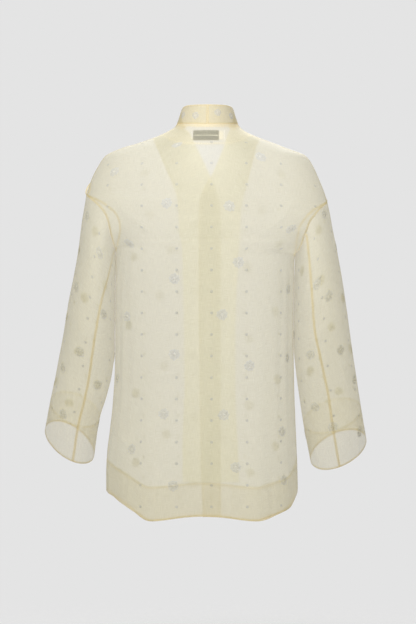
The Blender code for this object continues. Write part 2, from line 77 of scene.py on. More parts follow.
# Sewn strips: how far beside their line they begin and end, and how far inside the cloth's face they lie
STRIPS = {
    "hem_top": (-4.6, 0, HEM_CLEAR / 2),
    "hem_roll": (0.2, 3.4, HEM_CLEAR / 2),
    "neck": (-4.4, 0, 0.8),
    "side": (0, 6.0, 0.8),
    "armhole": (0, 4.4, 0.8),
    "free_edge": (0.2, 5.0, 0.7),
    "facing": (0, 4.6, FACING_CLEAR - 0.6),
    "back_facing": (0, 4.6, FACING_CLEAR - 0.5),
    "sleeve": (-2.4, 2.4, HEM_CLEAR + 0.4),
    "collar_foot": (-2.0, 2.8, COLLAR_CLEAR / 2),
    "collar_middle": (0, 2.0, COLLAR_CLEAR / 2),
    "collar_rim": (-1.0, 0.8, COLLAR_CLEAR / 2),
}
NECK_INSET = 0.5

# Rows of stitches, by how far beside their line they run, and how long, far apart, wide and raised they are
HEM_STITCHES, SEAM_STITCHES, EDGE_STITCHES = -1.6, 1.2, 1.6
FACING_STITCHES, BACK_FACING_STITCHES, COLLAR_STITCHES = 1.4, 1.5, -3.2
STITCH, STITCH_STEP, STITCH_WIDE, STITCH_RISE = 1.9, 3.1, 0.42, 0.25
STITCH_START = 0.5
THREAD_OUT, THREAD_BEHIND = 0.12, 0.15

# The woven label, its pale line and the tab beside it, inside the back: left, right, bottom and top
LABEL = (-29.0, 23.0, -35.8, -14.6)
BAND = (-28.0, 22.0, -25.9, -24.4)
TAB = (23.8, 31.8, -34.6, -16.6)
LABEL_STITCHES_AT = (-30.2, 33.0)
BAND_RISE = 0.15

# The collar's ends and half the space between its two halves, in radians of bearing, and the shares of
# its height at which its foot and the seam of its rim lie
COLLAR_ENDS = {"left": 0.75 * np.pi, "right": 2.25 * np.pi}
COLLAR_SPLIT = 0.002
COLLAR_FOOT, COLLAR_RIM = 0.02, 0.97

# Fineness of the surfaces: rows are counted by their points, columns and steps by the spaces between
# them, and a strip and a short line by their points
BODY_COLUMNS = 60
SIDE_ROWS = 118
HEM_ROWS = 15
ARMHOLE_STEPS = 40
SHOULDER_STEPS = 56
SLEEVE_COLUMNS = 108
SLEEVE_ROWS = 120
CUFF_ROWS = 16
COLLAR_COLUMNS, COLLAR_ROWS = 80, 17
FACING_COLUMNS, FACING_STEPS = 18, 190
BACK_FACING_COLUMNS, BACK_FACING_ROWS = 120, 15
LABEL_COLUMNS, LABEL_ROWS = 32, 13
STRIP_POINTS, SHORT_LINE_POINTS = 4, 12
LINE_STEP = 4.0

# Powers by which the rows of a shoulder, a facing and a sleeve are spaced
SHOULDER_CROWD, FACING_CROWD, SLEEVE_CROWD = 0.9, 1.5, 1.05

# Half the steps over which a surface's directions are measured: in its turn or share, and in its height
TURN_STEP, CLIMB = 0.003, 0.5

# Directions in the frame
RIGHTWARD, FORWARD, UP = np.eye(3)


def table(names, *rows):
    """The named columns of a table."""
    return dict(zip(names.split(), np.array(rows, float).T))


# The body's sections: how far they reach to the left and right at the back and at the front, measured from
# their middle, how deep they are, and how square. Beside the armholes it is the reach of the whole oval, with
# the top of the arm in it.
BODY = table(
    "height left_back left_front right_back right_front middle back front square",
    (-820, 194, 194, 188, 188, -6, 131, 134, 2.4),
    (-700, 196.5, 196.5, 186, 186, -6, 128, 132, 2.4),
    (-655, 194.5, 194.5, 184.5, 184.5, -6, 126, 131, 2.4),
    (-610, 190, 190, 181.5, 181.5, -5, 124, 130, 2.4),
    (-560, 184.5, 184.5, 179.5, 179.5, -5, 122, 129, 2.4),
    (-500, 182, 182, 177, 177, -4, 121, 129, 2.45),
    (-430, 181, 181, 176, 176, -4, 121, 129, 2.5),
    (-330, 181, 181, 175.5, 175.5, -3, 122, 130, 2.6),
    (-275, 181, 181, 175.5, 175.5, -2, 123, 130, 2.7),
    (-261, 181, 181, 177, 177, -2, 123, 130, 2.7),
    (-249, 182, 182, 191, 186, -2, 123, 130, 2.65),
    (-240, 189, 184, 202, 192, -2, 123, 130, 2.6),
    (-230, 200, 187.5, 214, 200, -2, 122, 130, 2.5),
    (-215, 218.5, 196, 233, 214, -1, 122, 128, 2.4),
    (-200, 236, 207, 247, 227, -1, 121, 127, 2.3),
    (-185, 247, 220, 251, 237, 0, 119, 124, 2.3),
    (-170, 252, 233.5, 247, 240.5, 0, 118, 122, 2.25),
    (-157, 249, 241, 240, 240, 0, 117, 120, 2.25),
    (-143, 242.5, 242.5, 236, 236, 0, 115, 117, 2.2),
    (-111, 232.5, 232.5, 223.5, 223.5, 0, 109, 108, 2.15),
    (-79, 216, 216, 208.5, 208.5, 0, 101, 97, 2.1),
    (-63, 204, 204, 196, 196, 0, 96, 91, 2.1),
    (-47, 170, 170, 156, 156, 0, 90, 84, 2.1),
    (-39, 142, 142, 136, 136, 0, 86, 80, 2.1),
    (-31, 119, 119, 114, 114, 0, 83, 77, 2.05),
    (-23, 98, 98, 94, 94, 0, 79, 73, 2.0),
    (-15, 81, 81, 77, 77, 0, 75, 69, 2.0),
    (-7, 67.5, 67.5, 66.5, 66.5, 0, 71, 65, 2.0),
    (2, 60, 60, 60, 60, 0, 67, 61, 2.0),
)

# Heights of the hem and of the neck seam round the body, by bearing
HEM = table(
    "bearing height",
    (0, -722), (13, -742), (26, -771), (40, -787), (61, -804), (90, -795), (119, -804), (130, -788),
    (141, -768), (152, -755), (180, -730), (201, -738), (209, -745), (219, -754), (229, -766), (242, -783),
    (270, -773), (297, -783), (308, -776), (321, -769), (335, -761), (347, -740), (360, -722),
)
NECK = table("bearing height", (0, 0), (45, -4), (90, -5), (135, -4), (180, 0), (270, -5), (360, 0))

# The free edges of the fronts: their distance to the wearer's right of the middle
LEFT_EDGE = table(
    "height across",
    (-820, 28), (-200, 28), (-160, 27), (-135, 22), (-98, 6), (-37, -23.4), (-12, -37), (-4, -47),
)
RIGHT_EDGE = table(
    "height across",
    (-820, -8.5), (-736, -12.3), (-526, -15.6), (-345, -17.6), (-190, -17.4), (-146, -15.5), (-116, -5),
    (-98, 6), (-37, 33.5), (-12, 42), (-4, 49),
)

# The stitched edges of the facings, which run down the inside of the fronts
LEFT_FACING = table(
    "height across",
    (-820, -50), (-650, -51), (-526, -47), (-435, -48), (-250, -51.5), (-217, -57), (-145, -62),
    (-116, -71), (-79, -87), (-50, -99), (-22, -112), (0, -122),
)
RIGHT_FACING = table(
    "height across",
    (-820, 65), (-692, 63), (-526, 57), (-435, 57), (-217, 66), (-159, 69.5), (-137, 74), (-112, 81.5),
    (-65, 93.5), (-40, 99), (-22, 108), (0, 116),
)
BACK_FACING = table(
    "from_back height",
    (0, -46), (15, -43.5), (24, -40), (42, -31), (60, -25), (90, -22),
)

# The collar's rim: its height, and how close it stands to the neck, as a share of its seam's reach
COLLAR = table(
    "from_back height reach",
    (0, 34.5, 0.89), (40, 34.5, 0.87), (60, 32.5, 0.87), (75, 27, 0.87), (90, 20, 0.87), (105, 12.5, 0.88),
    (120, 4.5, 0.91), (135, -1.5, 0.95),
)

# The armholes run from a tip on the upper arm to the underarm, scooped towards the body
ARMHOLES = {
    "left": {"side": -1, "tip": -143, "underarm": -249, "depth": 78, "scoop": (11, 30)},
    "right": {"side": 1, "tip": -157, "underarm": -261, "depth": 78, "scoop": (9, 20)},
}
SCOOP_FADE = 0.2

# The sleeves' rings below the armhole: how far down they are, and their middle, half depth and tilt, and
# then each sleeve's outer and inner points
RINGS = table(
    "along middle depth tilt",
    (0.05, -1, 79, 1), (0.10, -2, 79, 2), (0.22, -4, 78, 2), (0.34, -4, 76, 3), (0.45, 0, 73, 6),
    (0.57, 10, 69, 11), (0.68, 25, 65, 18), (0.79, 43, 61, 25), (0.89, 65, 59, 30), (1.00, 95, 60, 33),
)
SLEEVES = {
    "left": table(
        "out_x out_z in_x in_z",
        (-246.8, -169, -184.4, -262), (-251, -195, -184.3, -281), (-258, -251, -185.2, -327),
        (-268, -307, -185.8, -367), (-277.5, -353, -186.2, -407), (-287, -411, -187.2, -455),
        (-297.5, -461, -192, -498), (-308, -511, -204, -545), (-318.5, -555, -218.5, -590),
        (-331.5, -615, -230.5, -666),
    ),
    "right": table(
        "out_x out_z in_x in_z",
        (244.5, -178, 174.9, -275), (248.5, -201, 174.6, -292), (258.5, -251, 173.9, -334),
        (268, -303, 173.4, -373), (276, -353, 173.3, -409), (284, -409, 174.2, -451),
        (293, -464, 178.4, -498), (302, -517, 185, -544), (311.5, -570, 194.5, -602),
        (324, -635, 209.5, -676),
    ),
}

# Soft flutes that fall from the shoulder blades and the bust: where, how wide, how deep, and their length
FLUTES = table(
    "bearing spread depth bottom top",
    (61, 12, 5, -780, -330), (90, 10, -2, -780, -420), (119, 12, 5, -780, -330), (155, 9, -3, -760, -520),
    (205, 9, -3, -760, -500), (241, 12, 6, -780, -380), (270, 11, -3, -780, -420), (299, 12, 6, -780, -380),
    (336, 9, -3, -760, -480),
)

# Soft folds at the bend of the arm: where down and round the sleeve, how far they reach, and how deep
ELBOW_FOLDS = table(
    "along length turn spread depth",
    (0.47, 0.045, 90, 50, -4.5), (0.56, 0.04, 105, 55, 3), (0.65, 0.045, 80, 45, -4),
    (0.55, 0.12, 270, 60, 3),
)

# The size in millimetres of a degree round the body and the sleeve, and of a step up or along them, by which
# creases are laid out, the form of a crease's sides, and how far down a sleeve its creases begin
BODY_SCALE, SLEEVE_SCALE = (3.0, 1.0), (1.3, 420.0)
CREASE_POWER = 1.6
CREASE_FADE = 0.05

# Fine soft creases of the body: where they lie, how long and wide they are, how far they lean from upright,
# and how far they stand out
BODY_CREASES = table(
    "at place length width lean depth",
    (214, -627, 19, 5, 115, 1.7), (200, -300, 44, 8, 20, 1.5), (212, -334, 58, 10, 12, -1.2),
    (340, -300, 46, 8, -22, 1.5), (328, -347, 54, 9, -14, -1.3), (236, -192, 40, 7, -38, 1.2),
    (304, -186, 43, 7, 36, 1.1), (249, -498, 38, 8, 82, 0.8), (292, -515, 34, 7, 97, 0.9),
    (226, -547, 30, 8, 104, -0.8), (268, -255, 74, 9, 3, 0.9), (281, -330, 46, 7, -9, -0.7),
    (246, -745, 45, 10, 4, 1.6), (259, -734, 38, 9, -5, -1.3), (283, -741, 47, 11, 3, 1.4),
    (311, -742, 39, 9, -6, -1.4), (224, -727, 36, 8, 7, 1.2), (331, -716, 33, 8, -4, 1.3),
    (70, -205, 50, 9, 28, 1.4), (112, -200, 45, 8, -30, 1.2), (50, -330, 56, 9, -16, 1.5),
    (131, -322, 49, 9, 18, -1.3), (78, -421, 41, 10, 84, 0.8), (104, -465, 36, 8, 98, -0.8),
    (100, -735, 42, 10, 3, 1.5), (72, -741, 46, 9, -4, 1.4), (48, -730, 37, 9, 6, -1.2),
    (128, -737, 43, 10, -5, 1.4), (150, -715, 35, 8, 4, -1.2), (30, -712, 34, 8, -7, 1.2),
    (18, -590, 61, 9, 5, 0.9), (163, -601, 55, 9, -6, 0.9), (2, -470, 72, 10, 2, -1.0),
    (182, -455, 65, 10, -3, -0.9), (196, -700, 41, 8, 5, 1.1), (349, -690, 43, 8, -5, 1.1),
    (203, -430, 150, 10, -2, -1.3), (209, -480, 172, 11, 2, 1.3), (216, -440, 158, 11, -3, -1.1),
    (223, -515, 131, 13, 3, 1.0), (337, -425, 147, 10, 2, -1.3), (331, -490, 166, 11, -2, 1.3),
    (324, -450, 155, 11, 3, -1.1), (316, -520, 128, 13, -3, 1.0), (162, -450, 149, 11, 2, -1.2),
    (152, -500, 160, 13, -3, 1.1), (19, -440, 153, 11, -2, -1.2), (29, -495, 158, 13, 3, 1.1),
)

# The same for the sleeves, down the sleeve from the armhole at 0 to the cuff at 1
SLEEVE_CREASES = {
    "left": table(
        "at place length width lean depth",
        (200, 0.10, 34, 6, 24, 1.6), (168, 0.12, 30, 6, -20, 1.4), (232, 0.22, 43, 8, 30, 1.2),
        (291, 0.15, 50, 8, -14, 1.1), (88, 0.18, 46, 8, 12, 1.0), (121, 0.48, 22, 5, 78, -2.0),
        (112, 0.535, 27, 6, 96, 1.6), (126, 0.60, 24, 5.5, 84, -1.9), (104, 0.66, 20, 5, 102, 1.3),
        (262, 0.50, 30, 9, 60, 1.0), (287, 0.60, 34, 8, 110, 0.9), (241, 0.76, 40, 7, 16, 1.1),
        (301, 0.74, 43, 8, -12, 1.2), (331, 0.84, 33, 7, 8, 1.0), (58, 0.78, 37, 8, -10, 1.1),
        (18, 0.70, 38, 8, 5, -0.9), (255, 0.955, 22, 7, 6, 1.2), (206, 0.95, 20, 6, -8, 1.1),
        (311, 0.96, 23, 7, 10, -1.1), (92, 0.95, 24, 8, -6, 1.2), (142, 0.955, 19, 6, 8, -1.0),
        (180, 0.34, 118, 22, 0, 1.0),
    ),
    "right": table(
        "at place length width lean depth",
        (203, 0.09, 31, 6, -26, 1.5), (163, 0.14, 33, 7, 18, 1.5), (236, 0.25, 47, 8, -27, 1.3),
        (285, 0.13, 44, 7, 17, 1.0), (83, 0.21, 42, 9, -10, 1.1), (117, 0.465, 24, 5.5, 99, -1.8),
        (124, 0.55, 22, 5, 81, 1.5), (109, 0.625, 27, 6, 95, -2.0), (128, 0.69, 18, 5, 76, 1.2),
        (255, 0.53, 33, 8, 118, 1.0), (294, 0.63, 29, 9, 66, -0.8), (236, 0.79, 43, 8, -13, 1.2),
        (307, 0.71, 38, 7, 14, 1.1), (338, 0.86, 30, 7, -9, 1.1), (52, 0.81, 34, 8, 12, 1.0),
        (24, 0.68, 41, 9, -6, -0.9), (249, 0.95, 24, 7, -7, 1.2), (212, 0.96, 18, 6, 9, -1.0),
        (316, 0.95, 20, 7, -8, 1.1), (86, 0.96, 23, 8, 7, 1.1), (148, 0.95, 21, 6, -9, 1.0),
        (180, 0.36, 124, 22, 0, 1.0),
    ),
}

# The sleeves' seams run down the back of the arm
SLEEVE_SEAMS = {
    "left": table("along turn", (0, 188), (0.06, 204), (0.2, 228), (0.4, 248), (0.61, 259), (1, 260)),
    "right": table("along turn", (0, 251), (0.31, 252), (0.44, 253), (0.65, 265), (0.78, 270), (1, 270)),
}

# Embroidered flowers: on the body by how far right of the middle and how high they are, and on the sleeves
# by their turn and how far down they are, each with its size and how it is turned
BACK_FLOWERS = (
    (-80, -162, 21, 10), (43, -168, 22, 40), (-154, -240, 21, 25), (61, -278, 22, 5), (-65, -310, 21, 32),
    (29, -380, 22, 18), (-159, -384, 20, 50), (-65, -458, 22, 0), (82, -480, 21, 35), (-85, -574, 21, 22),
    (32, -576, 22, 48), (55, -678, 21, 12), (-148, -644, 20, 38), (-67, -714, 21, 5), (147, -610, 21, 28),
    (151, -706, 20, 44), (164, -212, 20, 15), (105, -70, 21, 30), (-184, -98, 20, 8), (-60, -46, 18, 20),
    (160, -330, 20, 52), (158, -466, 20, 16), (-178, -506, 20, 33),
)
FRONT_FLOWERS = {
    "left": (
        (-52, -118, 20, 12), (-128, -92, 21, 35), (-118, -176, 21, 4), (-26, -196, 22, 27),
        (-76, -248, 21, 46), (-150, -262, 20, 19), (-24, -330, 21, 8), (-98, -342, 22, 31),
        (-160, -402, 20, 50), (-30, -462, 21, 15), (-88, -486, 20, 39), (-146, -540, 21, 2),
        (-28, -590, 22, 24), (-84, -626, 21, 43), (-146, -682, 20, 17), (-30, -726, 21, 34),
    ),
    "right": (
        (70, -104, 20, 29), (150, -96, 21, 6), (112, -168, 21, 41), (34, -214, 22, 14), (146, -236, 20, 33),
        (84, -284, 21, 1), (30, -352, 22, 22), (138, -374, 21, 47), (86, -430, 20, 11), (32, -492, 21, 36),
        (142, -512, 21, 25), (84, -566, 22, 3), (30, -632, 20, 44), (138, -648, 21, 18), (86, -704, 21, 32),
    ),
}
SLEEVE_FLOWERS = {
    "left": (
        (322, 0.06, 20, 12), (319, 0.36, 21, 30), (284, 0.597, 21, 5), (322, 0.70, 20, 41),
        (236, 0.397, 20, 22), (237, 0.71, 21, 50), (298, 0.87, 21, 15), (262, 0.13, 21, 33),
        (12, 0.22, 20, 8), (62, 0.10, 21, 26), (114, 0.27, 20, 45), (64, 0.41, 22, 17),
        (8, 0.52, 20, 36), (70, 0.68, 21, 3), (20, 0.82, 21, 28), (128, 0.80, 20, 47),
        (176, 0.60, 20, 14), (78, 0.93, 20, 39), (190, 0.90, 21, 20),
    ),
    "right": (
        (318, 0.03, 20, 19), (291, 0.373, 21, 6), (305, 0.61, 21, 34), (243, 0.587, 21, 48),
        (240, 0.80, 20, 11), (327, 0.937, 21, 25), (337, 0.753, 20, 42), (270, 0.873, 21, 2),
        (266, 0.277, 21, 37), (350, 0.20, 20, 16), (58, 0.08, 21, 31), (20, 0.44, 21, 9),
        (76, 0.30, 22, 46), (124, 0.16, 20, 23), (66, 0.56, 20, 4), (16, 0.66, 21, 40),
        (122, 0.74, 21, 13), (72, 0.86, 20, 29), (186, 0.48, 20, 51), (180, 0.92, 20, 18),
    ),
}
COLLAR_FLOWERS = ((247, 0.45, 15, 10), (290, 0.6, 15, 30), (214, 0.5, 14, 5), (322, 0.45, 14, 40))

# Small woven dots stand in even rows and columns between the flowers: their size, how far they keep from a
# flower, the hem and a free edge, and from the sides, shoulders (in millimetres) and armholes (in radians)
DOT_SIZE = 6.0
DOT_COLUMNS, DOT_ACROSS, DOT_SPACING = range(-3, 4), 8.0, 68.3
DOT_ROWS, DOT_TOP, DOT_STEP = range(19), -41.0, 42.0
DOT_CLEAR, SIDE_CLEAR, SHOULDER_CLEAR, ARMHOLE_CLEAR = 14, 12, 16, 0.05
DOTS_BELOW = -30
SLEEVE_DOTS = (36, 99, 150, 213, 275, 333)
SLEEVE_DOT_ROWS, SLEEVE_DOT_TOP, SLEEVE_DOT_STEP, SLEEVE_DOT_CLEAR = range(9), 0.07, 0.096, 18

# A rosette's petals: half the outline of one and the ends of its ridge, in half widths of the flower, how
# the even and the odd ones are turned, how uneven they are, and how far their rims and ridges stand out
PETALS = 8
PETAL_SIDE = ((0.22, 0), (0.42, 0.15), (0.68, 0.245), (0.94, 0.2), (1.08, 0))
PETAL_RIDGE = (0.26, 0.93)
PETAL_TURNS = (-0.04, 0.05)
PETAL_UNEVEN, PETAL_WAVE = 0.06, 2.3
PETAL_LOW, PETAL_HIGH = 0.12, 0.6

# What a finished piece of cloth may carry, in the order in which it is made
SEWN = ("turned", "roll", "seam", "thread", "flower", "flower_heart", "dot")

# Painted shade: how much darker and yellower the cloth's colour is made towards the sides, sleeves and hem,
# where less light falls, how much each direction counts, and how far out that begins and ends
PAINTED_SHADE_TINT = (0.95, 0.93, 0.82)
PAINTED_SHADE_SPREAD = (3.5, 0.0, 1.0)
PAINTED_SHADE_FROM, PAINTED_SHADE_TO = 0.45, 1.0

# Each cloth and thread: its colour, how much light it stops, the share of that which comes through it
# instead, and its slot in the record
LOOKS = {
    "organza": ((0.85, 0.81, 0.645), 0.43, 0.45, "organza"),
    "facing": ((1.0, 0.99, 0.86), 0.78, 0.12, "organza_doubled"),
    "hem": ((0.90, 0.84, 0.68), 0.17, 0.45, "organza"),
    "yoke": ((0.96, 0.87, 0.64), 0.25, 0.45, "organza_doubled"),
    "collar": ((0.79, 0.72, 0.50), 0.54, 0.45, "organza_doubled"),
    "seam": ((0.98, 0.83, 0.49), 0.62, 0.45, "organza_doubled"),
    "turned": ((0.93, 0.86, 0.66), 0.28, 0.45, "organza_doubled"),
    "roll": ((0.95, 0.79, 0.46), 0.60, 0.45, "organza_doubled"),
    "flower": ((0.83, 0.84, 0.86), 0.40, 0.56, None),
    "flower_heart": ((0.86, 0.86, 0.85), 0.55, 0.40, None),
    "dot": ((0.62, 0.63, 0.62), 0.50, 0.45, None),
    "thread": ((0.98, 0.86, 0.58), 0.60, 0.45, None),
    "woven_label": ((0.005, 0.022, 0.022), 1.0, 0.0, "woven_label"),
    "label_band": ((0.80, 0.83, 0.72), 1.0, 0.0, "woven_label"),
    "tape": ((0.97, 0.96, 0.93), 1.0, 0.2, "tape"),
}
CLOTH_ROUGHNESS = 0.55

# The weave: how many thicker threads a metre of cloth has along and across them, how the sum of both is
# read, and by what shares of its usual value the stopped light varies
SLUBS_ALONG, SLUBS_ACROSS, SLUB_DETAIL = 60, 2600, 2.0
WEAVE_LOW, WEAVE_HIGH = 0.6, 1.4
THIN, THICK = 0.86, 1.14

# The room: its colour, the light from above and below and how it dims at the sides, and the floor, which
# fades into the room between two distances from its middle
BACKDROP = 0.776
LIGHT_ABOVE, LIGHT_BELOW = (0.49, 0.49, 0.48), (0.16, 0.14, 0.09)
RISE_FROM, RISE_TO = -0.7, 0.8
SIDE_LIGHT, SIDE_FROM = 0.62, 0.25
FLOOR_HEIGHT, FLOOR_RADIUS, FLOOR_CORNERS = -1.1, 1.35, 96
FLOOR_GREY, FLOOR_ROUGHNESS, FLOOR_SHINE = 0.64, 0.9, 0.1
FLOOR_FADE = (0.15, 1.3)

# The lamps: where they stand, how wide they are, in metres, and their power in watts
LAMPS = {"key": ((-0.3, -1.7, 1.45), 1.6, 60.0), "back": ((0.3, 1.9, 1.45), 1.8, 64.0)}
LAMP_AIM = (0, 0, -0.15)

# The camera behind the jacket: its place, its sensor's height and the slope of the picture's upper edge
CAMERA_AT = (0.001, -5.0, -0.375)
SENSOR = 24.0
VIEW_SLOPE = 0.1248

# How many sheer faces a ray of light may pass, one behind another
SHEER_FACES = 40


def smooth(at, xs, ys):
    """A curve through the points that doesn't overshoot between them."""
    at = np.clip(at, xs[0], xs[-1])
    step = np.diff(xs)
    slope = np.diff(ys) / step
    product = slope[1:] * slope[:-1]
    total = np.where(product > 0, slope[1:] + slope[:-1], 1.0)
    inner = np.where(product > 0, 2 * product / total, 0.0)
    tangent = np.concatenate([slope[:1], inner, slope[-1:]])
    k = np.clip(np.searchsorted(xs, at, side="right") - 1, 0, len(step) - 1)
    t = (at - xs[k]) / step[k]
    rise = ys[k] * (1 + 2 * t) * (1 - t) ** 2 + ys[k + 1] * t**2 * (3 - 2 * t)
    lean = tangent[k] * t * (1 - t) ** 2 - tangent[k + 1] * t**2 * (1 - t)
    return rise + lean * step[k]


def ease(t):
    """Rises softly from 0 to 1 as t does."""
    t = np.clip(t, 0, 1)
    return t * t * (3 - 2 * t)


def column(name, height):
    """A column of the body's table at a height."""
    return smooth(height, BODY["height"], BODY[name])


def round_body(rows, bearing):
    """The height that a table of bearings gives, in degrees."""
    return smooth(np.degrees(bearing) % 360, rows["bearing"], rows["height"])


def armhole_frame(hole):
    """An armhole's tip, its underarm, and the direction from their line towards the body, in X and Z."""
    tip, under = (np.array([side_point(hole["side"], z), z]) for z in (hole["tip"], hole["underarm"]))
    along = (under - tip) / np.linalg.norm(under - tip)
    return tip, under, np.array([-hole["side"] * abs(along[1]), abs(along[0])])


def side_point(side, height):
    """The X of the body's side at a height."""
    return column("middle", height) + side * column("left_back" if side < 0 else "right_back", height)


def armhole_heights(hole, face, turn):
    """Heights round an armhole, from its tip at a turn of 0 to its underarm at half a turn."""
    tip, under, inward = armhole_frame(hole)
    scoop = inward[1] * hole["scoop"][face > 0]
    return (tip[1] + under[1]) / 2 + (tip[1] - under[1]) / 2 * np.cos(turn) + scoop * np.sin(turn) ** 2


def armhole_depth(hole, face, height):
    """How far from the middle of the side an armhole's edge lies at a height, towards the back or front."""
    tip, under, inward = armhole_frame(hole)
    middle, reach = (tip[1] + under[1]) / 2, (tip[1] - under[1]) / 2
    scoop = inward[1] * hole["scoop"][face > 0]
    height = np.clip(height, under[1], tip[1])
    part = reach**2 - 4 * scoop * (height - middle - scoop)
    cosine = np.clip((reach - np.sqrt(part)) / (2 * scoop), -1, 1)
    return hole["depth"] * np.sqrt(1 - cosine**2)


def half_width(side, face, height):
    """How far the body reaches from its middle."""
    left = np.where(face < 0, column("left_back", height), column("left_front", height))
    right = np.where(face < 0, column("right_back", height), column("right_front", height))
    return np.where(side < 0, left, right)


def degrees_from(angle, middle):
    """How many degrees an angle lies past another, from -180 to 180."""
    return (angle - middle + 180) % 360 - 180


def flutes(bearing, height):
    """How far the soft flutes push the cloth out."""
    out = 0.0
    for at, spread, depth, bottom, top in zip(*FLUTES.values()):
        away = degrees_from(np.degrees(bearing) % 360, at)
        out = out + depth * np.exp(-((away / spread) ** 2)) * ease((top - height) / (top - bottom))
    return out


def body(bearing, height):
    """Points of the body's outer face."""
    bearing, height = np.broadcast_arrays(bearing, height)
    cosine, sine = np.cos(bearing), np.sin(bearing)
    side, face = np.where(cosine < 0, -1, 1), np.where(sine < 0, -1, 1)
    power = 2 / column("square", height)
    depth = np.where(face > 0, column("front", height), column("back", height))
    x = column("middle", height) + side * half_width(side, face, height) * np.abs(cosine) ** power
    y = face * depth * np.abs(sine) ** power
    out = flutes(bearing, height)
    return np.stack([x + out * cosine, y + out * sine, height + 0 * x], axis=-1)


def normals(surface, first, second, climb=TURN_STEP):
    """The outward directions of a surface of two numbers."""
    across = surface(first + TURN_STEP, second) - surface(first - TURN_STEP, second)
    along = surface(first, second + climb) - surface(first, second - climb)
    out = np.cross(across, along)
    return out / np.linalg.norm(out, axis=-1, keepdims=True)


def body_normals(bearing, height):
    """The outward directions of the body's outer face."""
    bearing, height = np.broadcast_arrays(bearing, height)
    return normals(body, bearing, height, CLIMB)


def bearing_of(across, height, face):
    """The bearing at which the body's face has a given X."""
    middle = column("middle", height)
    side = np.where(across < middle, -1, 1)
    share = np.clip(np.abs(across - middle) / half_width(side, face, height), 0, 1)
    angle = np.arccos(share ** (column("square", height) / 2))
    front = np.where(side > 0, angle, np.pi - angle)
    return front if face > 0 else 2 * np.pi - front


def seam_angle(hole, face, height, gap=GAP):
    """How far round from the side a panel's outer edge lies: half a gap at the side and shoulder seams, and
    at the armhole's edge beside it."""
    depth = column("front" if face > 0 else "back", height)
    at_armhole = (height > hole["underarm"]) & (height < hole["tip"])
    share = (np.where(at_armhole, armhole_depth(hole, face, height), 0) + gap / 2) / depth
    return np.arcsin(share ** (column("square", height) / 2))


def lap(height, across):
    """How far the right front lies inside the left one, beside and beyond the left one's edge."""
    edge = smooth(height, LEFT_EDGE["height"], LEFT_EDGE["across"])
    return LAP * (1 - ease((across - edge - LAP_START) / LAP_RAMP))


def side_progress(hole, heights):
    """How far up the side each row lies, from 0 at the hem to 1 at the underarm and above."""
    return np.clip((heights - heights[0]) / (hole["underarm"] - heights[0]), 0, 1)


def free_heights(hole, edge, start):
    """Heights of a front's rows at its free edge, from those at its side."""
    middle = bearing_of(edge["across"][0], edge["height"][0], 1)
    low, high = round_body(HEM, middle), edge["height"][-1]
    side = side_progress(hole, start)
    top = np.clip((start - hole["tip"]) / (start[-1] - hole["tip"]), 0, 1)
    return start + (low - start[0]) * (1 - side) + (high - start[-1]) * top


def collar(bearing, share):
    """Points of the collar, from its seam at a share of 0 to its rim at 1."""
    from_back = np.degrees(np.abs(bearing - 1.5 * np.pi))
    foot = body(bearing, round_body(NECK, bearing))
    rim = foot * smooth(from_back, COLLAR["from_back"], COLLAR["reach"])[..., None]
    rim[..., 2] = smooth(from_back, COLLAR["from_back"], COLLAR["height"])
    return foot + (rim - foot) * np.asarray(share)[..., None] + (0, 0, 1.5 * GAP)


def armhole_ring(hole, turn):
    """Points round an armhole's edge, from its tip through the front at a quarter turn."""
    points = []
    for face in (1, -1):
        height = armhole_heights(hole, face, turn)
        angle = seam_angle(hole, face, height, gap=0)
        bearing = angle if hole["side"] > 0 else np.pi - angle
        points.append(body(face * bearing, height))
    return np.where(np.sin(turn)[..., None] > 0, *points)


def sleeve(side, turn, along):
    """Points of a sleeve. A turn of 0 is its outer side, a quarter turn its front; along goes to the cuff."""
    hole, shape = ARMHOLES[side], {**RINGS, **SLEEVES[side]}
    turn, along = np.broadcast_arrays(turn, along)
    tip, under, _ = armhole_frame(hole)
    first = (0, 0, hole["depth"], 0, *tip, *under)
    shape = {name: np.append(start, values) for start, (name, values) in zip(first, shape.items())}
    at = {name: smooth(along, shape["along"], values) for name, values in shape.items()}
    fold = elbow_folds(turn, along)
    for name, side_of_ring in (("out_x", hole["side"]), ("in_x", -hole["side"])):
        at[name] = at[name] + side_of_ring * fold
    at["depth"] = at["depth"] + fold
    oval = ring(turn, at)
    start = {name: values[0] for name, values in shape.items()}
    scoop = armhole_ring(hole, turn) - ring(turn, start)
    return oval + scoop * (np.clip(1 - along / SCOOP_FADE, 0, 1) ** 2)[..., None]


def elbow_folds(turn, along):
    """How far the soft folds at the elbow push the sleeve out."""
    out = 0.0
    for at, length, middle, spread, depth in zip(*ELBOW_FOLDS.values()):
        away = degrees_from(np.degrees(turn) % 360, middle)
        out = out + depth * np.exp(-(((along - at) / length) ** 2) - (away / spread) ** 2)
    return out


def ring(turn, at):
    """A tilted oval through an outer and an inner point."""
    cosine, sine, tilt = np.cos(turn), np.sin(turn), np.radians(at["tilt"])
    x = (at["out_x"] + at["in_x"]) / 2 + (at["out_x"] - at["in_x"]) / 2 * cosine
    y = at["middle"] + at["depth"] * np.cos(tilt) * sine
    z = (at["out_z"] + at["in_z"]) / 2 + (at["out_z"] - at["in_z"]) / 2 * cosine
    return np.stack([x, y, z + at["depth"] * np.sin(tilt) * sine], axis=-1)


def creases(rows, turn, place, scale):
    """How far the fine creases push the cloth out. Scale is the size of a degree and of the second number."""
    out = 0.0
    for at, middle, length, width, lean, depth in zip(*rows.values()):
        across = degrees_from(turn, at) * scale[0]
        up = (place - middle) * scale[1]
        along = up * np.cos(np.radians(lean)) + across * np.sin(np.radians(lean))
        aside = across * np.cos(np.radians(lean)) - up * np.sin(np.radians(lean))
        out = out + depth * np.exp(-((along / length) ** 2) - np.abs(aside / width) ** CREASE_POWER)
    return out


